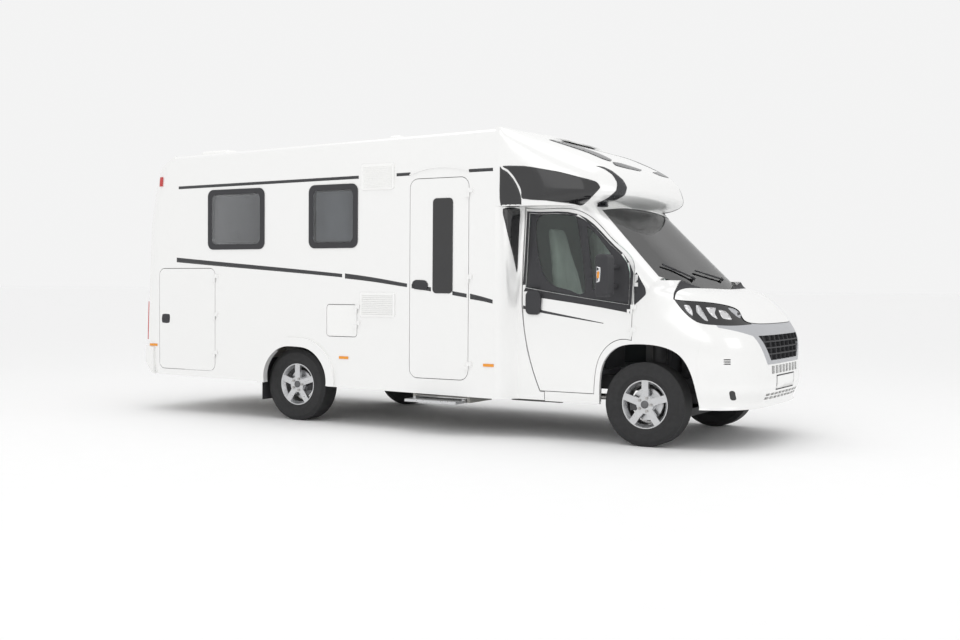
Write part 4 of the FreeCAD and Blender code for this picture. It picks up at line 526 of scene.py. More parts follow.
def rounded_loop(points: list[Pair], parts: int = 4) -> list[Pair]:
    """Closed smooth loop through a few given points.

    Args:
        points: the given points.
        parts: how many steps from one to the next.

    Returns:
        The points of the loop.
    """
    made, count = [], len(points)
    for i in range(count):
        p = [points[(i + k) % count] for k in (-1, 0, 1, 2)]
        for step in range(parts):
            t = step / parts
            made.append(tuple(
                b + 0.5 * t * (0.6 * (c - a) + t * (1.2 * a - 4.4 * b + 3.8 * c - 0.6 * d
                                                    + t * (2.8 * b - 0.6 * a - 2.8 * c + 0.6 * d)))
                for a, b, c, d in zip(*p)))
    return made


def thicken(piece: bpy.types.Object, thickness: float, offset: float = -1.0) -> None:
    """Give a piece its thickness.

    Args:
        piece: the piece.
        thickness: its thickness.
        offset: -1 for inwards, 0 for both ways.
    """
    wall = piece.modifiers.new("Thickness", "SOLIDIFY")
    wall.thickness = thickness
    wall.offset = offset


def plate(name: str, rows: list[list[Vector | None]], finish: Look, body: str,
          thickness: float) -> bpy.types.Object:
    """Thin plate over a grid of points on a skin.

    Args:
        name: name of the piece.
        rows: rows of points, None where there is no skin.
        finish: what it is made of.
        body: the body it rides on.
        thickness: thickness, inwards from the points.

    Returns:
        The piece.
    """
    verts, index = [], {}
    for i, row in enumerate(rows):
        for j, point in enumerate(row):
            if point is not None:
                index[i, j] = len(verts)
                verts.append(point)
    faces = []
    for i in range(len(rows) - 1):
        for j in range(len(rows[0]) - 1):
            corners = [(i, j), (i, j + 1), (i + 1, j + 1), (i + 1, j)]
            found = [index[c] for c in corners if c in index]
            if len(found) == 4:
                faces.append(tuple(found))
    piece = mesh_object(name, verts, faces, finish, body, recalc=False)
    shape = bmesh.new()
    shape.from_mesh(piece.data)
    bmesh.ops.recalc_face_normals(shape, faces=shape.faces)
    if sum(f.normal.y * f.calc_area() * math.copysign(1, f.calc_center_median().y) for f in shape.faces) < 0:
        bmesh.ops.reverse_faces(shape, faces=shape.faces)
    shape.to_mesh(piece.data)
    shape.free()
    thicken(piece, thickness)
    piece.data.shade_smooth()
    return piece


@dataclass(frozen=True)
class Sight:
    """The photograph's view, for placing thin pieces by the photograph's pixels.

    Attributes:
        eye: place of the camera.
        forward: way it looks.
        up: its upward way.
        focal: focal length in pixels.
        middle: pixel that it looks at.
    """

    eye: Vector
    forward: Vector
    up: Vector
    focal: float = 1166.6
    middle: Pair = (480.0, 320.0)

    def axes(self) -> tuple[Vector, Vector, Vector]:
        """Ways to the right, upwards and forwards, at right angles and each one long.

        Returns:
            The three ways.
        """
        right = self.forward.cross(self.up).normalized()
        return right, right.cross(self.forward).normalized(), self.forward.normalized()

    def ray(self, u: float, v: float) -> Vector:
        """Way from the eye through a pixel.

        Args:
            u: pixel to the right.
            v: pixel downwards.

        Returns:
            The way, one long.
        """
        right, up, ahead = self.axes()
        way = ahead + right * ((u - self.middle[0]) / self.focal) - up * ((v - self.middle[1]) / self.focal)
        return way.normalized()


SIGHT = Sight(Vector((6.366, -10.3546, 1.3705)), Vector((-0.5048, 0.8627, -0.0286)),
              Vector((-0.026, 0.018, 0.9995)))


@dataclass
class Film:
    """A thin film over a skin, cut out by an outline in some flat view of it.

    Attributes:
        name: name of the piece.
        outline: corners of the film in the view.
        finish: what it is made of.
        body: the body it rides on.
        holes: outlines of its openings.
        step: distance between the lines that let it bend.
        lift: height over the skin.
        thickness: thickness of the film.
        along_share: how much the place along counts in telling which way is outwards.
    """

    name: str
    outline: list[Pair]
    finish: Look
    body: str
    holes: tuple[list[Pair], ...] = ()
    step: float = 4.0
    lift: float = 0.0012
    thickness: float = 0.001
    along_share: float = 0.3

    def lay(self, place: Callable[[float, float], Vector | None], mirror: bool = False) -> bpy.types.Object:
        """Cut the film out, bend it over the skin and give it its thickness.

        Args:
            place: turns a point of the view into a point on the skin.
            mirror: whether it lies on the other side of the vehicle.

        Returns:
            The piece.
        """
        shape = bmesh.new()
        edges = []
        for loop in (self.outline, *self.holes):
            points = [shape.verts.new((u, v, 0.0)) for u, v in loop]
            edges += [shape.edges.new(pair) for pair in zip(points, points[1:] + points[:1])]
        bmesh.ops.triangle_fill(shape, edges=edges, use_beauty=True)
        for axis in (Vector((1, 0, 0)), Vector((0, 1, 0))):
            spans = [v.co.dot(axis) for v in shape.verts]
            level = min(spans) + self.step
            while level < max(spans):
                parts = list(shape.verts) + list(shape.edges) + list(shape.faces)
                bmesh.ops.bisect_plane(shape, geom=parts, dist=1e-7, plane_co=axis * level, plane_no=axis)
                level += self.step
        lost = []
        for vert in shape.verts:
            spot = place(vert.co.x, vert.co.y)
            if spot is None:
                lost.append(vert)
            else:
                vert.co = Vector((spot.x, -spot.y, spot.z)) if mirror else spot
        bmesh.ops.delete(shape, geom=lost, context="VERTS")
        bmesh.ops.remove_doubles(shape, verts=shape.verts, dist=1e-5)
        bmesh.ops.recalc_face_normals(shape, faces=shape.faces)
        outwards = sum(f.calc_area() * self._outward(f) for f in shape.faces)
        if outwards < 0:
            bmesh.ops.reverse_faces(shape, faces=shape.faces)
        mesh = bpy.data.meshes.new(self.name)
        shape.to_mesh(mesh)
        shape.free()
        piece = adopt(self.name, mesh, self.finish, self.body, 40.0)
        thicken(piece, self.thickness)
        return piece

    def _outward(self, face: bmesh.types.BMFace) -> float:
        """How far a face looks away from the vehicle's middle.

        Args:
            face: the face.

        Returns:
            Positive where it looks outwards.
        """
        away = face.calc_center_median() - VEHICLE_MIDDLE
        away.x *= self.along_share
        return face.normal.dot(away)


@dataclass(frozen=True)
class Bank:
    """A soft rectangular light.

    Attributes:
        name: its name.
        place: where it hangs.
        target: what it is turned to.
        size: its length and width.
        power: its power in watts.
    """

    name: str
    place: tuple[float, float, float]
    target: tuple[float, float, float]
    size: Pair
    power: float

    def hang(self) -> None:
        """Hang the light."""
        data = bpy.data.lights.new(self.name, "AREA")
        data.shape = "RECTANGLE"
        data.size, data.size_y = self.size
        data.energy = self.power
        light = bpy.data.objects.new(self.name, data)
        light.location = self.place
        way = Vector(self.target) - Vector(self.place)
        light.rotation_euler = way.to_track_quat("-Z", "Y").to_euler()
        bpy.context.scene.collection.objects.link(light)


BANKS = (Bank("roof_bank", (0.5, -1.5, 7.5), (0.0, 0.0, 0.0), (9.0, 6.0), 95.0),
         Bank("side_bank", (3.0, -11.0, 5.5), (0.0, 0.0, 1.2), (8.0, 4.0), 62.0),
         Bank("nose_bank", (11.5, -3.0, 4.5), (2.0, 0.0, 1.2), (5.0, 4.0), 45.0))


@dataclass
class Studio:
    """Floor, light and camera of the picture.

    Attributes:
        sight: the photograph's view.
        lens: focal length in millimetres.
        sensor: width of the sensor in millimetres.
        roll: turn of the camera about its own axis, in degrees.
        far: distance to which the camera sees.
        reach: half of the floor's length.
        pale: tone of the floor.
        sky: strength of the white sky.
    """

    sight: Sight = SIGHT
    lens: float = 43.75
    sensor: float = 36.0
    roll: float = -0.35
    far: float = 2000.0
    reach: float = 380.0
    pale: float = 0.985
    sky: float = 0.9

    def build(self) -> None:
        """Make the camera, the floor, the sky and the lights."""
        self._camera()
        self._floor()
        self._sky()
        for bank in BANKS:
            bank.hang()
        bpy.context.scene.view_settings.view_transform = "Standard"

    def _camera(self) -> None:
        """Place the camera as the photograph has it."""
        data = bpy.data.cameras.new("camera")
        data.lens = self.lens
        data.sensor_width = self.sensor
        data.clip_end = self.far
        camera = bpy.data.objects.new("camera", data)
        right, up, ahead = self.sight.axes()
        turn = Matrix((right, up, -ahead)).transposed().to_4x4()
        roll = Matrix.Rotation(math.radians(self.roll), 4, "Z")
        camera.matrix_world = Matrix.Translation(self.sight.eye) @ turn @ roll
        bpy.context.scene.collection.objects.link(camera)
        bpy.context.scene.camera = camera

    def _floor(self) -> None:
        """Make the pale floor."""
        mesh = bpy.data.meshes.new("floor")
        corners = [(self.reach * x, self.reach * y, 0) for x, y in ((-1, -1), (1, -1), (1, 1), (-1, 1))]
        mesh.from_pydata(corners, [], [(0, 1, 2, 3)])
        finish = Finish("pale_floor", (self.pale,) * 3, 0.8, Grain.BOARD, swing=0.004)
        mesh.materials.append(finish.material())
        floor = bpy.data.objects.new("floor", mesh)
        bpy.context.scene.collection.objects.link(floor)

    def _sky(self) -> None:
        """Make the white sky."""
        world = bpy.data.worlds.new("studio_sky")
        world.use_nodes = True
        background = world.node_tree.nodes["Background"].inputs
        background["Color"].default_value = (1.0, 1.0, 1.0, 1.0)
        background["Strength"].default_value = self.sky
        bpy.context.scene.world = world


@dataclass
class Bodywork:
    """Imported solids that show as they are, each with its finish.

    Attributes:
        wheels: words of the four wheels.
    """

    wheels: tuple[str, ...] = ("front_right", "front_left", "rear_right", "rear_left")

    def dress(self) -> None:
        """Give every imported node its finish."""
        for finish, names in NODE_FINISHES.items():
            for name in names.split():
                self.finish_node(name, finish)
        for word in self.wheels:
            self.finish_node("tyre_" + word, TYRE)
            self.finish_node("rim_" + word, ALLOY)

    def finish_node(self, name: str, finish: Look) -> None:
        """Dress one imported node.

        Args:
            name: name of the node.
            finish: what it is made of.
        """
        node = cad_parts[name]
        if not node.material_slots:
            node.data.materials.append(None)
        for slot in node.material_slots:
            slot.material = finish.material()
        log.info("%s is %s", name, finish.name)


@dataclass
class Stripes:
    """Dark lines along both sides. Places are from the front axle and from the ground.

    Attributes:
        lift: height of the film over the skin.
        upper: points of the line under the roof.
        lower: points of the line under the windows.
        door: points of its tail on the cab door.
        upper_spans: stretches of the upper line on each side.
        lower_spans: stretches of the lower line on each side.
        entry_span: stretch of the lower line on the entry door.
    """

    lift: float = 0.0008
    upper: tuple[Pair, ...] = ((-5.297, 2.405), (-2.903, 2.422), (-2.268, 2.428), (-1.405, 2.431))
    lower: tuple[Pair, ...] = ((-5.326, 1.634), (-4.825, 1.596), (-3.108, 1.468), (-2.343, 1.377),
                               (-1.640, 1.279), (-1.386, 1.229))
    door: tuple[Pair, ...] = ((-1.190, 1.190), (-0.968, 1.148), (-0.378, 1.058))
    upper_spans: dict[Side, tuple[Pair, ...]] = field(default_factory=lambda: {
        Side.RIGHT: ((-5.297, -2.895), (-2.479, -2.313), (-1.672, -1.405)), Side.LEFT: ((-5.297, -1.405),)})
    lower_spans: dict[Side, tuple[Pair, ...]] = field(default_factory=lambda: {
        Side.RIGHT: ((-5.326, -3.105), (-3.095, -2.330), (-1.655, -1.400)),
        Side.LEFT: ((-5.326, -3.105), (-3.095, -1.400))})
    entry_span: Pair = (-2.300, -1.685)

    def build(self, axle_x: float) -> None:
        """Lay the lines on both sides.

        Args:
            axle_x: place of the front axle.
        """
        for side in Side:
            word = side.word
            wall = Skin(("wall_" + word,))
            for number, span in enumerate(self.upper_spans[side]):
                self._line(f"upper_stripe_{word}_{number}", wall, side, axle_x, self.upper, span,
                           (0.03, 0.03), "coach")
            for number, span in enumerate(self.lower_spans[side]):
                self._line(f"lower_stripe_{word}_{number}", wall, side, axle_x, self.lower, span,
                           (0.05, 0.034), "coach")
            self._line(f"door_stripe_{word}", Skin(("cab_door_" + word,)), side, axle_x, self.door,
                       (self.door[0][0], self.door[-1][0]), (0.03, 0.006), "cab_door_" + word)
        self._line("entry_stripe", Skin(("entry_door",)), Side.RIGHT, axle_x, self.lower, self.entry_span,
                   (0.040, 0.036), "entry_door")

    def _line(self, name: str, skin: Skin, side: Side, axle_x: float, line: tuple[Pair, ...], span: Pair,
              widths: Pair, body: str) -> None:
        """Lay one stretch of a line.

        Args:
            name: name of the piece.
            skin: what it lies on.
            side: its side.
            axle_x: place of the front axle.
            line: points of the whole line, from the axle.
            span: first and last place of this stretch.
            widths: width at the first and the last point.
            body: the body it rides on.
        """
        path = [p for p in smooth_line(list(line), 160) if span[0] <= p[0] <= span[1]]
        rows = []
        for share_up in (-0.5, 0.5):
            row = []
            for x, z in path:
                along = (x - span[0]) / (span[1] - span[0])
                width = widths[0] + (widths[1] - widths[0]) * along
                row.append(skin.from_side(axle_x + x, z + share_up * width, side, self.lift))
            rows.append(row)
        plate(name, rows, STRIPE, body, self.lift * 0.8)


@dataclass(frozen=True)
class Decal:
    """A film that the photograph shows, by its pixels.

    Attributes:
        name: name of the piece.
        nodes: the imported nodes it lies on.
        outline: its corners in pixels of the photograph.
        finish: what it is made of.
        body: body on the right side.
        other: body on the left side.
        both: whether the left side has it too.
        lift: height over the skin.
        step: pixels between the lines that let it bend.
    """

    name: str
    nodes: tuple[str, ...]
    outline: tuple[Pair, ...]
    finish: Look
    body: str = "coach"
    other: str = "coach"
    both: bool = True
    lift: float = 0.0012
    step: float = 4.0

    def lay(self, sight: Sight) -> None:
        """Lay it on the right side, and mirrored on the left side.

        Args:
            sight: the photograph's view.
        """
        skin = Skin(self.nodes)
        sides = (Side.RIGHT, Side.LEFT) if self.both else (Side.RIGHT,)
        for side in sides:
            film = Film(f"{self.name}_{side.word}", rounded_loop(list(self.outline)), self.finish,
                        self.body if side is Side.RIGHT else self.other, step=self.step, lift=self.lift)
            film.lay(lambda u, v: skin.hit(sight.eye, sight.ray(u, v), self.lift), mirror=side is Side.LEFT)


HOOD_SKIN = ("overcab_hood", "side_fairings", "wall_right", "cab_frame", "roof")
DECALS: tuple[Decal, ...] = (
    Decal("hood_panel", HOOD_SKIN,
          ((503.5, 166.2), (525, 166.2), (559, 172), (582, 178), (596, 182), (601, 188), (593, 197),
           (583, 206), (571, 204), (548, 201), (523.5, 199), (521.5, 189), (515, 177), (509, 170)),
          GLOSS_BLACK, lift=0.003, step=2.0),
    Decal("hood_quarter", HOOD_SKIN,
          ((500.8, 168), (503.5, 169.5), (508, 172), (514, 179), (519.5, 189.5), (522, 205.5),
           (501.5, 205.5)),
          GLOSS_BLACK, lift=0.003, step=2.0),
    Decal("fairing_wedge", HOOD_SKIN,
          ((503.5, 209), (520.3, 209), (519.6, 230), (518.4, 256), (517.2, 273), (513, 254), (509, 238),
           (505.5, 222)),
          GLOSS_BLACK, lift=0.003, step=2.0),
    Decal("hood_band", HOOD_SKIN,
          ((597, 166.6), (605, 169.8), (612.5, 175), (617.5, 182.5), (617, 191), (610, 197.5), (605.6, 200.3),
           (599.5, 203.2), (598, 207.5), (608.4, 207.8), (609, 202.7), (616, 201), (625, 196), (627.6, 188.8),
           (623.8, 181), (613.8, 172.5), (605, 168)), STRIPE, lift=0.003, step=2.0),
    Decal("skylight_strip", HOOD_SKIN,
          ((551, 139.9), (575, 145.5), (598, 153.5), (612, 160.3), (611.3, 162.2), (604, 160), (590, 153.9),
           (570, 146.9), (553, 141.3)), STRIPE, lift=0.003, step=1.0),
    Decal("skylight_tail", HOOD_SKIN,
          ((613.5, 163), (622, 164.3), (641.5, 170.6), (641, 172.2), (630, 170), (617, 166.6)), STRIPE,
          lift=0.003, step=1.0),
    Decal("mirror_triangle", ("front_fenders", "cab_frame", "cowl_and_wipers"),
          ((634.2, 305), (636, 304.6), (645.5, 296), (645.6, 289.5), (641, 281), (634.8, 271.5)), BLACK),
    Decal("repeater", ("mirror_handle_right",),
          ((594.3, 268.6), (600.6, 268.3), (600, 281.5), (597, 283.2), (592.6, 282.3)), CHROME,
          "cab_door_right", "cab_door_left"),
    Decal("repeater_lens", ("mirror_handle_right",),
          ((597.6, 272.5), (599.6, 272.4), (599.2, 278.6), (597.2, 278.8)), ORANGE,
          "cab_door_right", "cab_door_left", lift=0.003),
    Decal("day_lamp", ("headlamps",),
          ((683.8, 306.5), (689, 306.6), (692, 311.5), (692.6, 317), (687.5, 313)), CHROME),
    Decal("turn_lamp", ("headlamps",),
          ((696, 307), (699.5, 307.2), (708, 321.8), (704.5, 321.5), (697, 314)), ALLOY),
    Decal("main_lamp", ("headlamps",),
          ((706, 309), (715.8, 309.3), (714.8, 314.5), (717.6, 320.4), (712, 317.5)), CHROME),
    Decal("far_lamp", ("headlamps",), ((718.6, 311.6), (726, 313), (732, 321), (723, 320)), CHROME),
    Decal("lamp_end", ("headlamps",),
          ((728, 309.6), (734, 310.5), (741, 315.5), (746, 321.5), (738, 319), (732, 314)), GREY),
    Decal("garage_lock", ("garage_door_right",),
          ((162.5, 312.5), (169.5, 312.3), (169.5, 320.5), (162.5, 320.5)), BLACK,
          "garage_door_right", "garage_door_left"),
    Decal("entry_handle", ("entry_door",),
          ((413, 282), (416, 279.6), (425, 280), (428, 283), (428, 287), (424, 289.6), (415, 288.6),
           (412.6, 285.5)),
          BLACK, "entry_door", both=False, lift=0.006),
)


def door_film(name: str, node: str, outline: list[Pair], holes: tuple[list[Pair], ...],
              axle_x: float) -> None:
    """Lay a black film with openings on both cab doors, cut in side view.

    Args:
        name: name of the piece, before its side.
        node: the node it lies on, before its side.
        outline: its edge, from the axle.
        holes: edges of its openings, from the axle.
        axle_x: place of the front axle.
    """
    for side in Side:
        skin = Skin((node + side.word,))
        film = Film(name + side.word, outline, BLACK, "cab_door_" + side.word, holes, step=0.06)
        film.lay(lambda x, z: skin.from_side(axle_x + x, z, side, film.lift))


@dataclass
class DoorSurround:
    """Black field round the window of each cab door.

    Attributes:
        opening: the window's opening in side view, from the axle.
        outline: outer edge of the field in side view, from the axle.
    """

    opening: tuple[Pair, ...] = (
        (-1.180, 2.046), (-1.083, 2.037), (-0.987, 2.036), (-0.891, 2.036), (-0.795, 2.030), (-0.701, 2.010),
        (-0.614, 1.970), (-0.535, 1.915), (-0.463, 1.851), (-0.394, 1.785), (-0.322, 1.721), (-0.247, 1.660),
        (-0.184, 1.585), (-0.152, 1.495), (-0.146, 1.222), (-0.305, 1.241), (-0.541, 1.271), (-0.776, 1.304),
        (-1.011, 1.339), (-1.169, 1.364))
    outline: tuple[Pair, ...] = (
        (-1.206, 2.062), (-1.083, 2.054), (-0.891, 2.053), (-0.795, 2.047), (-0.693, 2.026), (-0.604, 1.985),
        (-0.524, 1.929), (-0.451, 1.864), (-0.382, 1.798), (-0.310, 1.734), (-0.234, 1.672), (-0.168, 1.592),
        (-0.122, 1.500), (-0.120, 1.150), (-0.400, 1.195), (-0.700, 1.235), (-1.000, 1.272), (-1.196, 1.293))

    def build(self, axle_x: float) -> None:
        """Lay the field on both doors.

        Args:
            axle_x: place of the front axle.
        """
        door_film("door_surround_", "cab_door_", list(self.outline), (list(self.opening),), axle_x)


@dataclass
class GlassBorder:
    """Black printed border of the cab doors' glass, with the clear panes left open.

    Attributes:
        panes: outlines of the clear panes in pixels of the photograph.
        inset: share by which the border stays inside the opening.
    """

    panes: tuple[tuple[Pair, ...], ...] = (
        ((577.5, 219.5), (560, 215.2), (546, 214.8), (540, 217.5), (537.4, 223), (537, 236), (539, 257),
         (544, 274), (549.5, 282.5), (557, 287.3), (570, 290.6), (585.3, 292.6)),
        ((588, 229), (590.5, 229.5), (596.5, 235), (604, 244.5), (610.5, 253.5), (611.5, 257), (607, 268),
         (600, 282), (593.5, 290.5), (592, 270)))
    inset: float = 0.988

    def build(self, sight: Sight, axle_x: float) -> None:
        """Lay the border on both doors' glass.

        Args:
            sight: the photograph's view.
            axle_x: place of the front axle.
        """
        seen = Skin(("cab_door_glass_right",))
        openings = []
        for pane in self.panes:
            spots = [seen.hit(sight.eye, sight.ray(u, v), 0.0) for u, v in rounded_loop(list(pane))]
            openings.append([(spot.x - axle_x, spot.z) for spot in spots if spot is not None])
        edge = DoorSurround().opening
        middle = (sum(x for x, _ in edge) / len(edge), sum(z for _, z in edge) / len(edge))
        outline = [tuple(m + (c - m) * self.inset for m, c in zip(middle, point)) for point in edge]
        door_film("glass_border_", "cab_door_glass_", outline, tuple(openings), axle_x)


@dataclass
class Copies:
    """Geometry Nodes tree that sets copies of a small shape on a ring or in a row.

    Attributes:
        name: name of the tree.
        points: node that makes the points.
        shape: node that makes the small shape.
        inputs: each input's name and type, and the socket of the points or of the shape that takes it.
        finish: what the copies are made of.
        corners: corners of a round shape.
        tilt: turn of each copy in degrees.
    """

    name: str
    points: str
    shape: str
    inputs: tuple[tuple[str, str, str, str], ...]
    finish: Finish
    corners: int = 0
    tilt: float = 0.0

    def tree(self) -> bpy.types.NodeTree:
        """Build the tree, or hand out the one that exists.

        Returns:
            The tree.
        """
        known = bpy.data.node_groups.get(self.name)
        if known is not None:
            return known
        tree = bpy.data.node_groups.new(self.name, "GeometryNodeTree")
        for word, kind, _, _ in self.inputs:
            tree.interface.new_socket(word, in_out="INPUT", socket_type=kind)
        tree.interface.new_socket("Geometry", in_out="OUTPUT", socket_type="NodeSocketGeometry")
        graph = Graph(tree)
        entry = graph.add("NodeGroupInput")
        makers = {"points": graph.add(self.points), "shape": graph.add(self.shape)}
        for word, _, maker, socket in self.inputs:
            graph.fill(makers[maker], {socket: entry.outputs[word]})
        if self.corners:
            makers["shape"].inputs["Vertices"].default_value = self.corners
        spread = graph.add("GeometryNodeInstanceOnPoints", {
            "Points": makers["points"].outputs["Mesh"], "Instance": makers["shape"].outputs["Mesh"],
            "Rotation": (math.radians(self.tilt), 0.0, 0.0)})
        plain = graph.add("GeometryNodeRealizeInstances", {"Geometry": spread.outputs["Instances"]})
        dress = graph.add("GeometryNodeSetMaterial", {"Geometry": plain.outputs["Geometry"],
                                                      "Material": self.finish.material()})
        graph.add("NodeGroupOutput", {"Geometry": dress.outputs["Geometry"]})
        return tree

    def grow(self, name: str, sizes: dict[str, object], place: Matrix, body: str) -> bpy.types.Object:
        """Grow the copies, make them a plain mesh and set it in its place.

        Args:
            name: name of the piece.
            sizes: what the tree's inputs take.
            place: where the ring or the row goes.
            body: the body it rides on.

        Returns:
            The piece.
        """
        seed = bpy.data.objects.new(name + "_seed", bpy.data.meshes.new(name + "_seed"))
        bpy.context.scene.collection.objects.link(seed)
        grow = seed.modifiers.new("Copies", "NODES")
        grow.node_group = self.tree()
        for item in grow.node_group.interface.items_tree:
            if item.in_out == "INPUT":
                grow[item.identifier] = sizes[item.name]
        view = bpy.context.evaluated_depsgraph_get()
        mesh = bpy.data.meshes.new_from_object(seed.evaluated_get(view))
        seed.modifiers.remove(grow)
        bpy.data.objects.remove(seed)
        mesh.transform(place)
        mesh.name = name
        return adopt(name, mesh, self.finish, body, 30.0)


RING_INPUTS = (("Count", "NodeSocketInt", "points", "Vertices"),
               ("Radius", "NodeSocketFloat", "points", "Radius"),
               ("Size", "NodeSocketFloat", "shape", "Radius"),
               ("Depth", "NodeSocketFloat", "shape", "Depth"))
ROW_INPUTS = (("Count", "NodeSocketInt", "points", "Count"),
              ("Offset", "NodeSocketVector", "points", "Offset"),
              ("Size", "NodeSocketVector", "shape", "Size"))
RING = ("GeometryNodeMeshCircle", "GeometryNodeMeshCylinder", RING_INPUTS)
BOLT_RING = Copies("bolt_ring", *RING, STEEL, corners=6)
LUG_RING = Copies("lug_ring", *RING, TYRE, corners=4)
SLAT_ROW = Copies("slat_row", "GeometryNodeMeshLine", "GeometryNodeMeshCube", ROW_INPUTS, WHITE_PLASTIC,
                  tilt=-24.0)


@dataclass
class WheelDetail:
    """Bolts, cap and tread blocks of the four wheels.

    Attributes:
        bolt_count: bolts of a wheel.
        bolt_ring: radius of the bolt ring.
        bolt_size: radius of a bolt's head.
        bolt_depth: length of a bolt's head.
        bolt_out: distance of its middle before the hub's face.
        lugs: tread blocks round a shoulder.
        lug_size: width of a tread block.
        lug_depth: length of a tread block across the tyre.
        lug_in: distance of its middle from the ring of the tread.
        lug_shoulder: distance of its middle from the tyre's side.
        cap: radius and height of the hub cap's rows.
        cap_parts: parts of each row.
    """

    bolt_count: int = 5
    bolt_ring: float = 0.059
    bolt_size: float = 0.0125
    bolt_depth: float = 0.02
    bolt_out: float = 0.004
    lugs: int = 84
    lug_size: float = 0.0085
    lug_depth: float = 0.030
    lug_in: float = 0.0135
    lug_shoulder: float = 0.030
    cap: tuple[Pair, ...] = ((0.034, -0.004), (0.034, 0.006), (0.029, 0.010), (0.016, 0.0125), (0.0, 0.0132))
    cap_parts: int = 32

    def build(self) -> None:
        """Dress all four wheels."""
        for end in ("front", "rear"):
            for side in Side:
                self._wheel(f"{end}_{side.word}", side)

    def _wheel(self, word: str, side: Side) -> None:
        """Dress one wheel.

        Args:
            word: its end and side.
            side: its side.
        """
        low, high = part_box("rim_" + word)
        middle = (low + high) / 2
        skin = Skin(("rim_" + word,))
        hub = skin.from_side(middle.x + self.bolt_ring * 0.8, middle.z, side, 0.0)
        face = hub.y if hub is not None else side.value * high.y
        turn = Matrix.Rotation(math.radians(90.0), 4, "X")
        body = "wheel_" + word
        spot = Matrix.Translation((middle.x, face + side.value * self.bolt_out, middle.z)) @ turn
        bolts = {"Count": self.bolt_count, "Radius": self.bolt_ring, "Size": self.bolt_size,
                 "Depth": self.bolt_depth}
        BOLT_RING.grow("bolts_" + word, bolts, spot, body)
        self._cap(word, Vector((middle.x, face, middle.z)), side, body)
        low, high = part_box("tyre_" + word)
        blocks = {"Count": self.lugs, "Radius": (high.z - low.z) / 2 - self.lug_in, "Size": self.lug_size,
                  "Depth": self.lug_depth}
        for number, across in enumerate((low.y + self.lug_shoulder, high.y - self.lug_shoulder)):
            spot = Matrix.Translation((middle.x, across, middle.z)) @ turn
            LUG_RING.grow(f"lugs_{word}_{number}", blocks, spot, body)

    def _cap(self, word: str, middle: Vector, side: Side, body: str) -> None:
        """Make the domed cap over the hub.

        Args:
            word: the wheel's end and side.
            middle: middle of the hub's face.
            side: the wheel's side.
            body: the body it rides on.
        """
        verts, faces, count = [], [], self.cap_parts
        for radius, out in self.cap:
            for i in range(count):
                angle = 2 * math.pi * i / count
                verts.append(Vector((middle.x + radius * math.cos(angle), middle.y + side.value * out,
                                     middle.z + radius * math.sin(angle))))
        for start in range(0, (len(self.cap) - 1) * count, count):
            for i in range(count):
                j = (i + 1) % count
                faces.append((start + i, start + j, start + count + j, start + count + i))
        faces.append(tuple(range(count)))
        mesh_object("hub_cap_" + word, verts, faces, DARK_ALLOY, body)


@dataclass
class Pad:
    """A crowned cushion that is pinched in along its rim, with sewn channels.

    Attributes:
        name: name of the piece.
        widths: width at even steps from its rear or lower end to its other end.
        length: length.
        thickness: full thickness.
        channels: places of the sewn lines across its width, from -1 to 1.
        across: parts across its width.
        along: parts along its length.
    """

    name: str
    widths: tuple[float, ...]
    length: float
    thickness: float
    channels: tuple[float, ...] = (-0.52, 0.52)
    across: int = 40
    along: int = 52

    def sew(self, place: Matrix, body: str) -> bpy.types.Object:
        """Make the cushion.

        Args:
            place: turns the cushion's own frame into the shared one.
            body: the body it rides on.

        Returns:
            The piece.
        """
        verts, faces = [], []
        row = self.across + 1
        for top in (1.0, -1.0):
            start = len(verts)
            for j in range(self.along + 1):
                v = -math.cos(math.pi * j / self.along)
                for i in range(row):
                    verts.append(place @ self._point(-math.cos(math.pi * i / self.across), v, top))
            for j in range(self.along):
                for i in range(self.across):
                    a = start + j * row + i
                    face = (a, a + 1, a + row + 1, a + row)
                    faces.append(face if top > 0 else tuple(reversed(face)))
        piece = mesh_object(self.name, verts, faces, CLOTH, body, crease=80.0, weld=2e-5)
        smooth = piece.modifiers.new("Smooth", "SUBSURF")
        smooth.levels = smooth.render_levels = 1
        return piece

    def _point(self, u: float, v: float, top: float) -> Vector:
        """Point of the cushion in its own frame.

        Args:
            u: place across, from -1 to 1.
            v: place along, from -1 to 1.
            top: 1 on its face, -1 on its back.

        Returns:
            The point.
        """
        share = (v + 1) / 2 * (len(self.widths) - 1)
        k = min(int(share), len(self.widths) - 2)
        t = share - k
        t = t * t * (3 - 2 * t)
        width = self.widths[k] + (self.widths[k + 1] - self.widths[k]) * t
        # full near the middle, falling off steeply to the pinched rim
        rim = max(0.0, 1 - abs(u) ** 5) ** 0.42 * max(0.0, 1 - abs(v) ** 7) ** 0.42
        crown = 0.86 + 0.14 * (1 - u * u) * (1 - v * v)
        dent = sum(math.exp(-((u - c) / 0.035) ** 2) for c in self.channels) * (0.16 if top > 0 else 0.0)
        pull = 1 - 0.03 * (1 - rim)
        height = top * self.thickness / 2 * rim * crown * (1 - dent)
        return Vector((u * width / 2 * pull, v * self.length / 2 * pull, height))


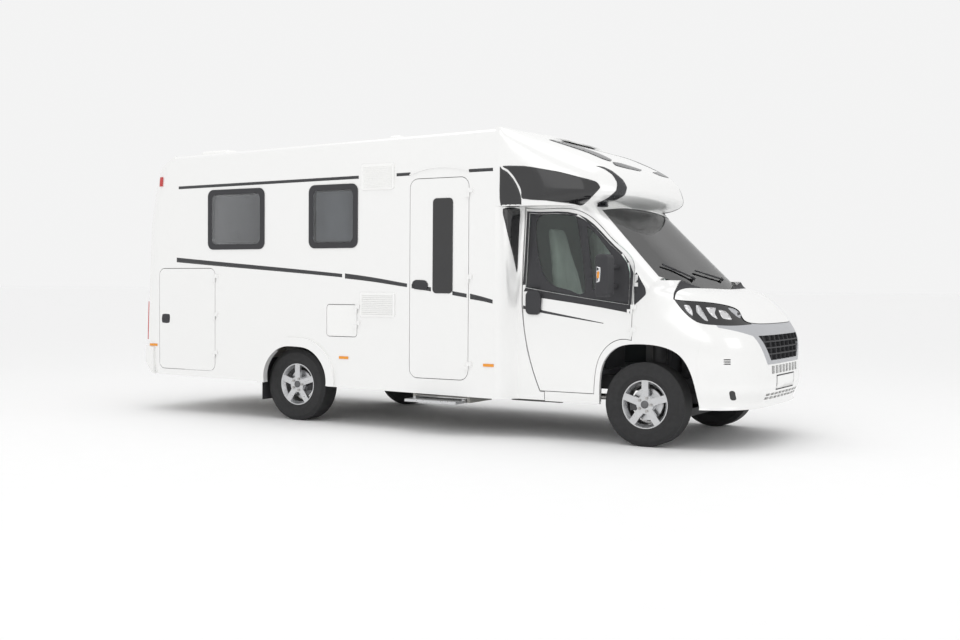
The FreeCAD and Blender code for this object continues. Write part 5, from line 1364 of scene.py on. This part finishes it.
@dataclass
class CabSeats:
    """The two cab seats with their cushions, backs, inner arm rests and pedestals.

    Attributes:
        lean: backward lean of the backs in degrees.
        width: width of a seat.
        depth: length of a cushion.
        seat_z: height of a cushion's middle.
        pad: thickness of the cushions.
        back_pad: thickness of the backs.
        back_widths: widths of a back from its foot to its head rest.
        foot: distance of a back's foot behind the cushion, and of its middle before its foot line.
        pedestal: its rear and front behind the seat's front, half of its width and its rounding.
        arm: its rear and front behind the seat's front, half of its width, its heights over the cushion's
            middle and its rounding.
        arm_gap: distance of its middle from the cushion.
        inset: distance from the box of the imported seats.
    """

    lean: float = 13.0
    width: float = 0.49
    depth: float = 0.46
    seat_z: float = 1.03
    pad: float = 0.135
    back_pad: float = 0.12
    back_widths: tuple[float, ...] = (0.40, 0.49, 0.50, 0.49, 0.45, 0.36, 0.29, 0.27, 0.25)
    foot: Pair = (0.02, 0.03)
    pedestal: tuple[float, float, float, float] = (0.40, 0.06, 0.19, 0.03)
    arm: tuple[float, float, float, float, float, float] = (0.42, 0.10, 0.022, 0.15, 0.20, 0.02)
    arm_gap: float = 0.015
    inset: float = 0.01

    def build(self) -> None:
        """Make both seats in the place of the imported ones."""
        low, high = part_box("cab_seats")
        for side in Side:
            middle = side.value * (high.y - self.width / 2 - self.inset / 2)
            for piece in self._seat(side, middle, low, high):
                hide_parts("cab_seats")

    def _seat(self, side: Side, y: float, low: Vector, high: Vector) -> list[bpy.types.Object]:
        """Make one seat.

        Args:
            side: its side.
            y: its place across.
            low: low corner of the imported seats.
            high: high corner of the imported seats.

        Returns:
            Its pieces.
        """
        word = side.word
        front = high.x - self.inset
        widths = (self.width, self.width, self.width * 0.96)
        cushion = Pad("seat_cushion_" + word, widths, self.depth, self.pad)
        flat = (Matrix.Translation((front - self.depth / 2, y, self.seat_z))
                @ Matrix.Rotation(math.radians(-90), 4, "Z"))
        pieces = [cushion.sew(flat, "coach")]
        height = high.z - self.seat_z - self.inset
        back = Pad("seat_back_" + word, self.back_widths, height * 0.985, self.back_pad)
        lean = Matrix.Rotation(math.radians(-self.lean), 4, "Y")
        half = height / 2 / math.cos(math.radians(self.lean)) * 0.99
        behind, before = self.foot
        middle = Vector((front - self.depth - behind, y, self.seat_z)) + lean @ Vector((before, 0, half))
        upright = Matrix(((0, 0, 1, 0), (1, 0, 0, 0), (0, 1, 0, 0), (0, 0, 0, 1)))
        pieces.append(back.sew(Matrix.Translation(middle) @ lean @ upright, "coach"))
        rear, fore, across, edge = self.pedestal
        base_low = Vector((front - rear, y - across, low.z + 0.001))
        base_high = Vector((front - fore, y + across, self.seat_z - self.pad / 2 - 0.002))
        pieces.append(self._block("seat_pedestal_" + word, base_low, base_high, edge, TRIM))
        rear, fore, across, under, over, edge = self.arm
        arm = y - side.value * (self.width / 2 + self.arm_gap)
        arm_low = Vector((front - rear, arm - across, self.seat_z + under))
        arm_high = Vector((front - fore, arm + across, self.seat_z + over))
        pieces.append(self._block("seat_arm_" + word, arm_low, arm_high, edge, CLOTH))
        return pieces

    def _block(self, name: str, low: Vector, high: Vector, round_off: float,
               finish: Finish) -> bpy.types.Object:
        """Make a block with rounded edges.

        Args:
            name: name of the piece.
            low: its low corner.
            high: its high corner.
            round_off: radius of its edges.
            finish: what it is made of.

        Returns:
            The piece.
        """
        corners = [Vector(corner) for corner in product(*zip(low, high))]
        faces = [(0, 1, 3, 2), (4, 6, 7, 5), (0, 4, 5, 1), (2, 3, 7, 6), (0, 2, 6, 4), (1, 5, 7, 3)]
        piece = mesh_object(name, corners, faces, finish, "coach", crease=40.0)
        edge = piece.modifiers.new("Round", "BEVEL")
        edge.width = round_off
        edge.segments = 4
        return piece


@dataclass
class Blinds:
    """Roller blinds drawn behind the windows of the living part. Places are from the front axle.

    Attributes:
        spans: rear, front, low and high edge of each window's frame, and its cloth.
        inset: distance behind the wall's outer face.
        margin: distance inside the frame.
        thickness: thickness of the cloth.
        rows: parts of its height.
    """

    spans: tuple[tuple[float, float, float, float, Finish], ...] = (
        (4.858, 4.113, 1.750, 2.352, BLIND_DARK), (3.511, 2.937, 1.750, 2.352, BLIND))
    inset: float = 0.045
    margin: float = 0.05
    thickness: float = 0.0006
    rows: int = 24

    def build(self, axle_x: float) -> None:
        """Hang a blind behind each window.

        Args:
            axle_x: place of the front axle.
        """
        half = max(abs(corner.y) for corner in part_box("wall_right"))
        for side in Side:
            for number, (rear, front, low, high, cloth) in enumerate(self.spans):
                ends = (axle_x - rear + self.margin, axle_x - front - self.margin)
                heights = (low + self.margin, high - self.margin)
                across = side.value * (half - self.inset)
                self._blind(f"blind_{side.word}_{number}", ends, heights, across, cloth)

    def _blind(self, name: str, ends: Pair, heights: Pair, y: float, cloth: Finish) -> None:
        """Hang one blind.

        Args:
            name: name of the piece.
            ends: its rear and front edge.
            heights: its lower and upper edge.
            y: its place across.
            cloth: what it is made of.
        """
        length, height = ends[1] - ends[0], heights[1] - heights[0]
        levels = [heights[0] + height * j / self.rows for j in range(self.rows + 1)]
        verts = [Vector((x, y, z)) for z in levels for x in ends]
        faces = [(a, a + 1, a + 3, a + 2) for a in range(0, 2 * self.rows, 2)]
        piece = mesh_object(name, verts, faces, cloth, "coach", recalc=False)
        thicken(piece, self.thickness, 0.0)


@dataclass
class VentSlats:
    """Sloping slats over the fridge vents, grown by a Geometry Nodes tree. Places are from the front axle.

    Attributes:
        spans: rear, front, low and high edge of each vent.
        pitch: distance between two slats.
        margin: distance of the slats from the vent's edge.
        height: height of a slat.
        depth: depth of a slat.
    """

    spans: tuple[tuple[float, float, float, float], ...] = ((2.875, 2.499, 2.293, 2.541),
                                                            (2.888, 2.484, 1.072, 1.306))
    pitch: float = 0.018
    margin: float = 0.024
    height: float = 0.006
    depth: float = 0.0035

    def build(self, axle_x: float) -> None:
        """Grow the slats of every vent.

        Args:
            axle_x: place of the front axle.
        """
        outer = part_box("side_vents")[0].y
        for number, (rear, front, low, high) in enumerate(self.spans):
            count = int((high - low - 2 * self.margin) / self.pitch) + 1
            start = low + (high - low - (count - 1) * self.pitch) / 2
            sizes = {"Count": count, "Offset": (0.0, 0.0, self.pitch),
                     "Size": (rear - front - 2 * self.margin, self.depth, self.height)}
            place = Matrix.Translation((axle_x - (rear + front) / 2, outer - self.depth * 0.2, start))
            SLAT_ROW.grow(f"vent_slats_{number}", sizes, place, "coach")


@dataclass
class NumberPlate:
    """Blank number plate with its dark holder, bent to the bumper.

    Attributes:
        half: half of its width.
        low: its lower edge.
        high: its upper edge.
        rim: width of the holder's rim.
        holder_lift: height of the holder over the bumper.
        plate_lift: height of the plate over the bumper.
        thickness: thickness of each.
        step: distance between the lines that let them bend.
        ahead: distance before the axle at which rays to the bumper start.
    """

    half: float = 0.26
    low: float = 0.498
    high: float = 0.608
    rim: float = 0.011
    holder_lift: float = 0.0010
    plate_lift: float = 0.0022
    thickness: float = 0.0009
    step: float = 0.05
    ahead: float = 2.0

    def build(self, axle_x: float) -> None:
        """Lay the plate on the front bumper.

        Args:
            axle_x: place of the front axle.
        """
        skin = Skin(("front_bumper",))
        backwards = Vector((-1, 0, 0))
        for name, rim, lift, finish in (("plate_holder", self.rim, self.holder_lift, BLACK),
                                        ("number_plate", 0.0, self.plate_lift, WHITE_PLASTIC)):
            half, low, high = self.half + rim, self.low - rim, self.high + rim
            film = Film(name, [(-half, low), (half, low), (half, high), (-half, high)], finish, "coach",
                        step=self.step, lift=lift, thickness=self.thickness)
            film.lay(lambda y, z: skin.hit(Vector((axle_x + self.ahead, y, z)), backwards, film.lift))


def main() -> None:
    """Build the studio, dress the solids and add the pieces."""
    logging.basicConfig(level=logging.INFO, format="%(message)s", force=True)
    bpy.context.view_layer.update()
    tyre_low, tyre_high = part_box("tyre_front_right")
    axle_x = (tyre_low.x + tyre_high.x) / 2
    Studio().build()
    Bodywork().dress()
    Stripes().build(axle_x)
    for decal in DECALS:
        decal.lay(SIGHT)
    DoorSurround().build(axle_x)
    GlassBorder().build(SIGHT, axle_x)
    WheelDetail().build()
    CabSeats().build()
    Blinds().build(axle_x)
    VentSlats().build(axle_x)
    NumberPlate().build(axle_x)


if __name__ == "__main__":
    main()
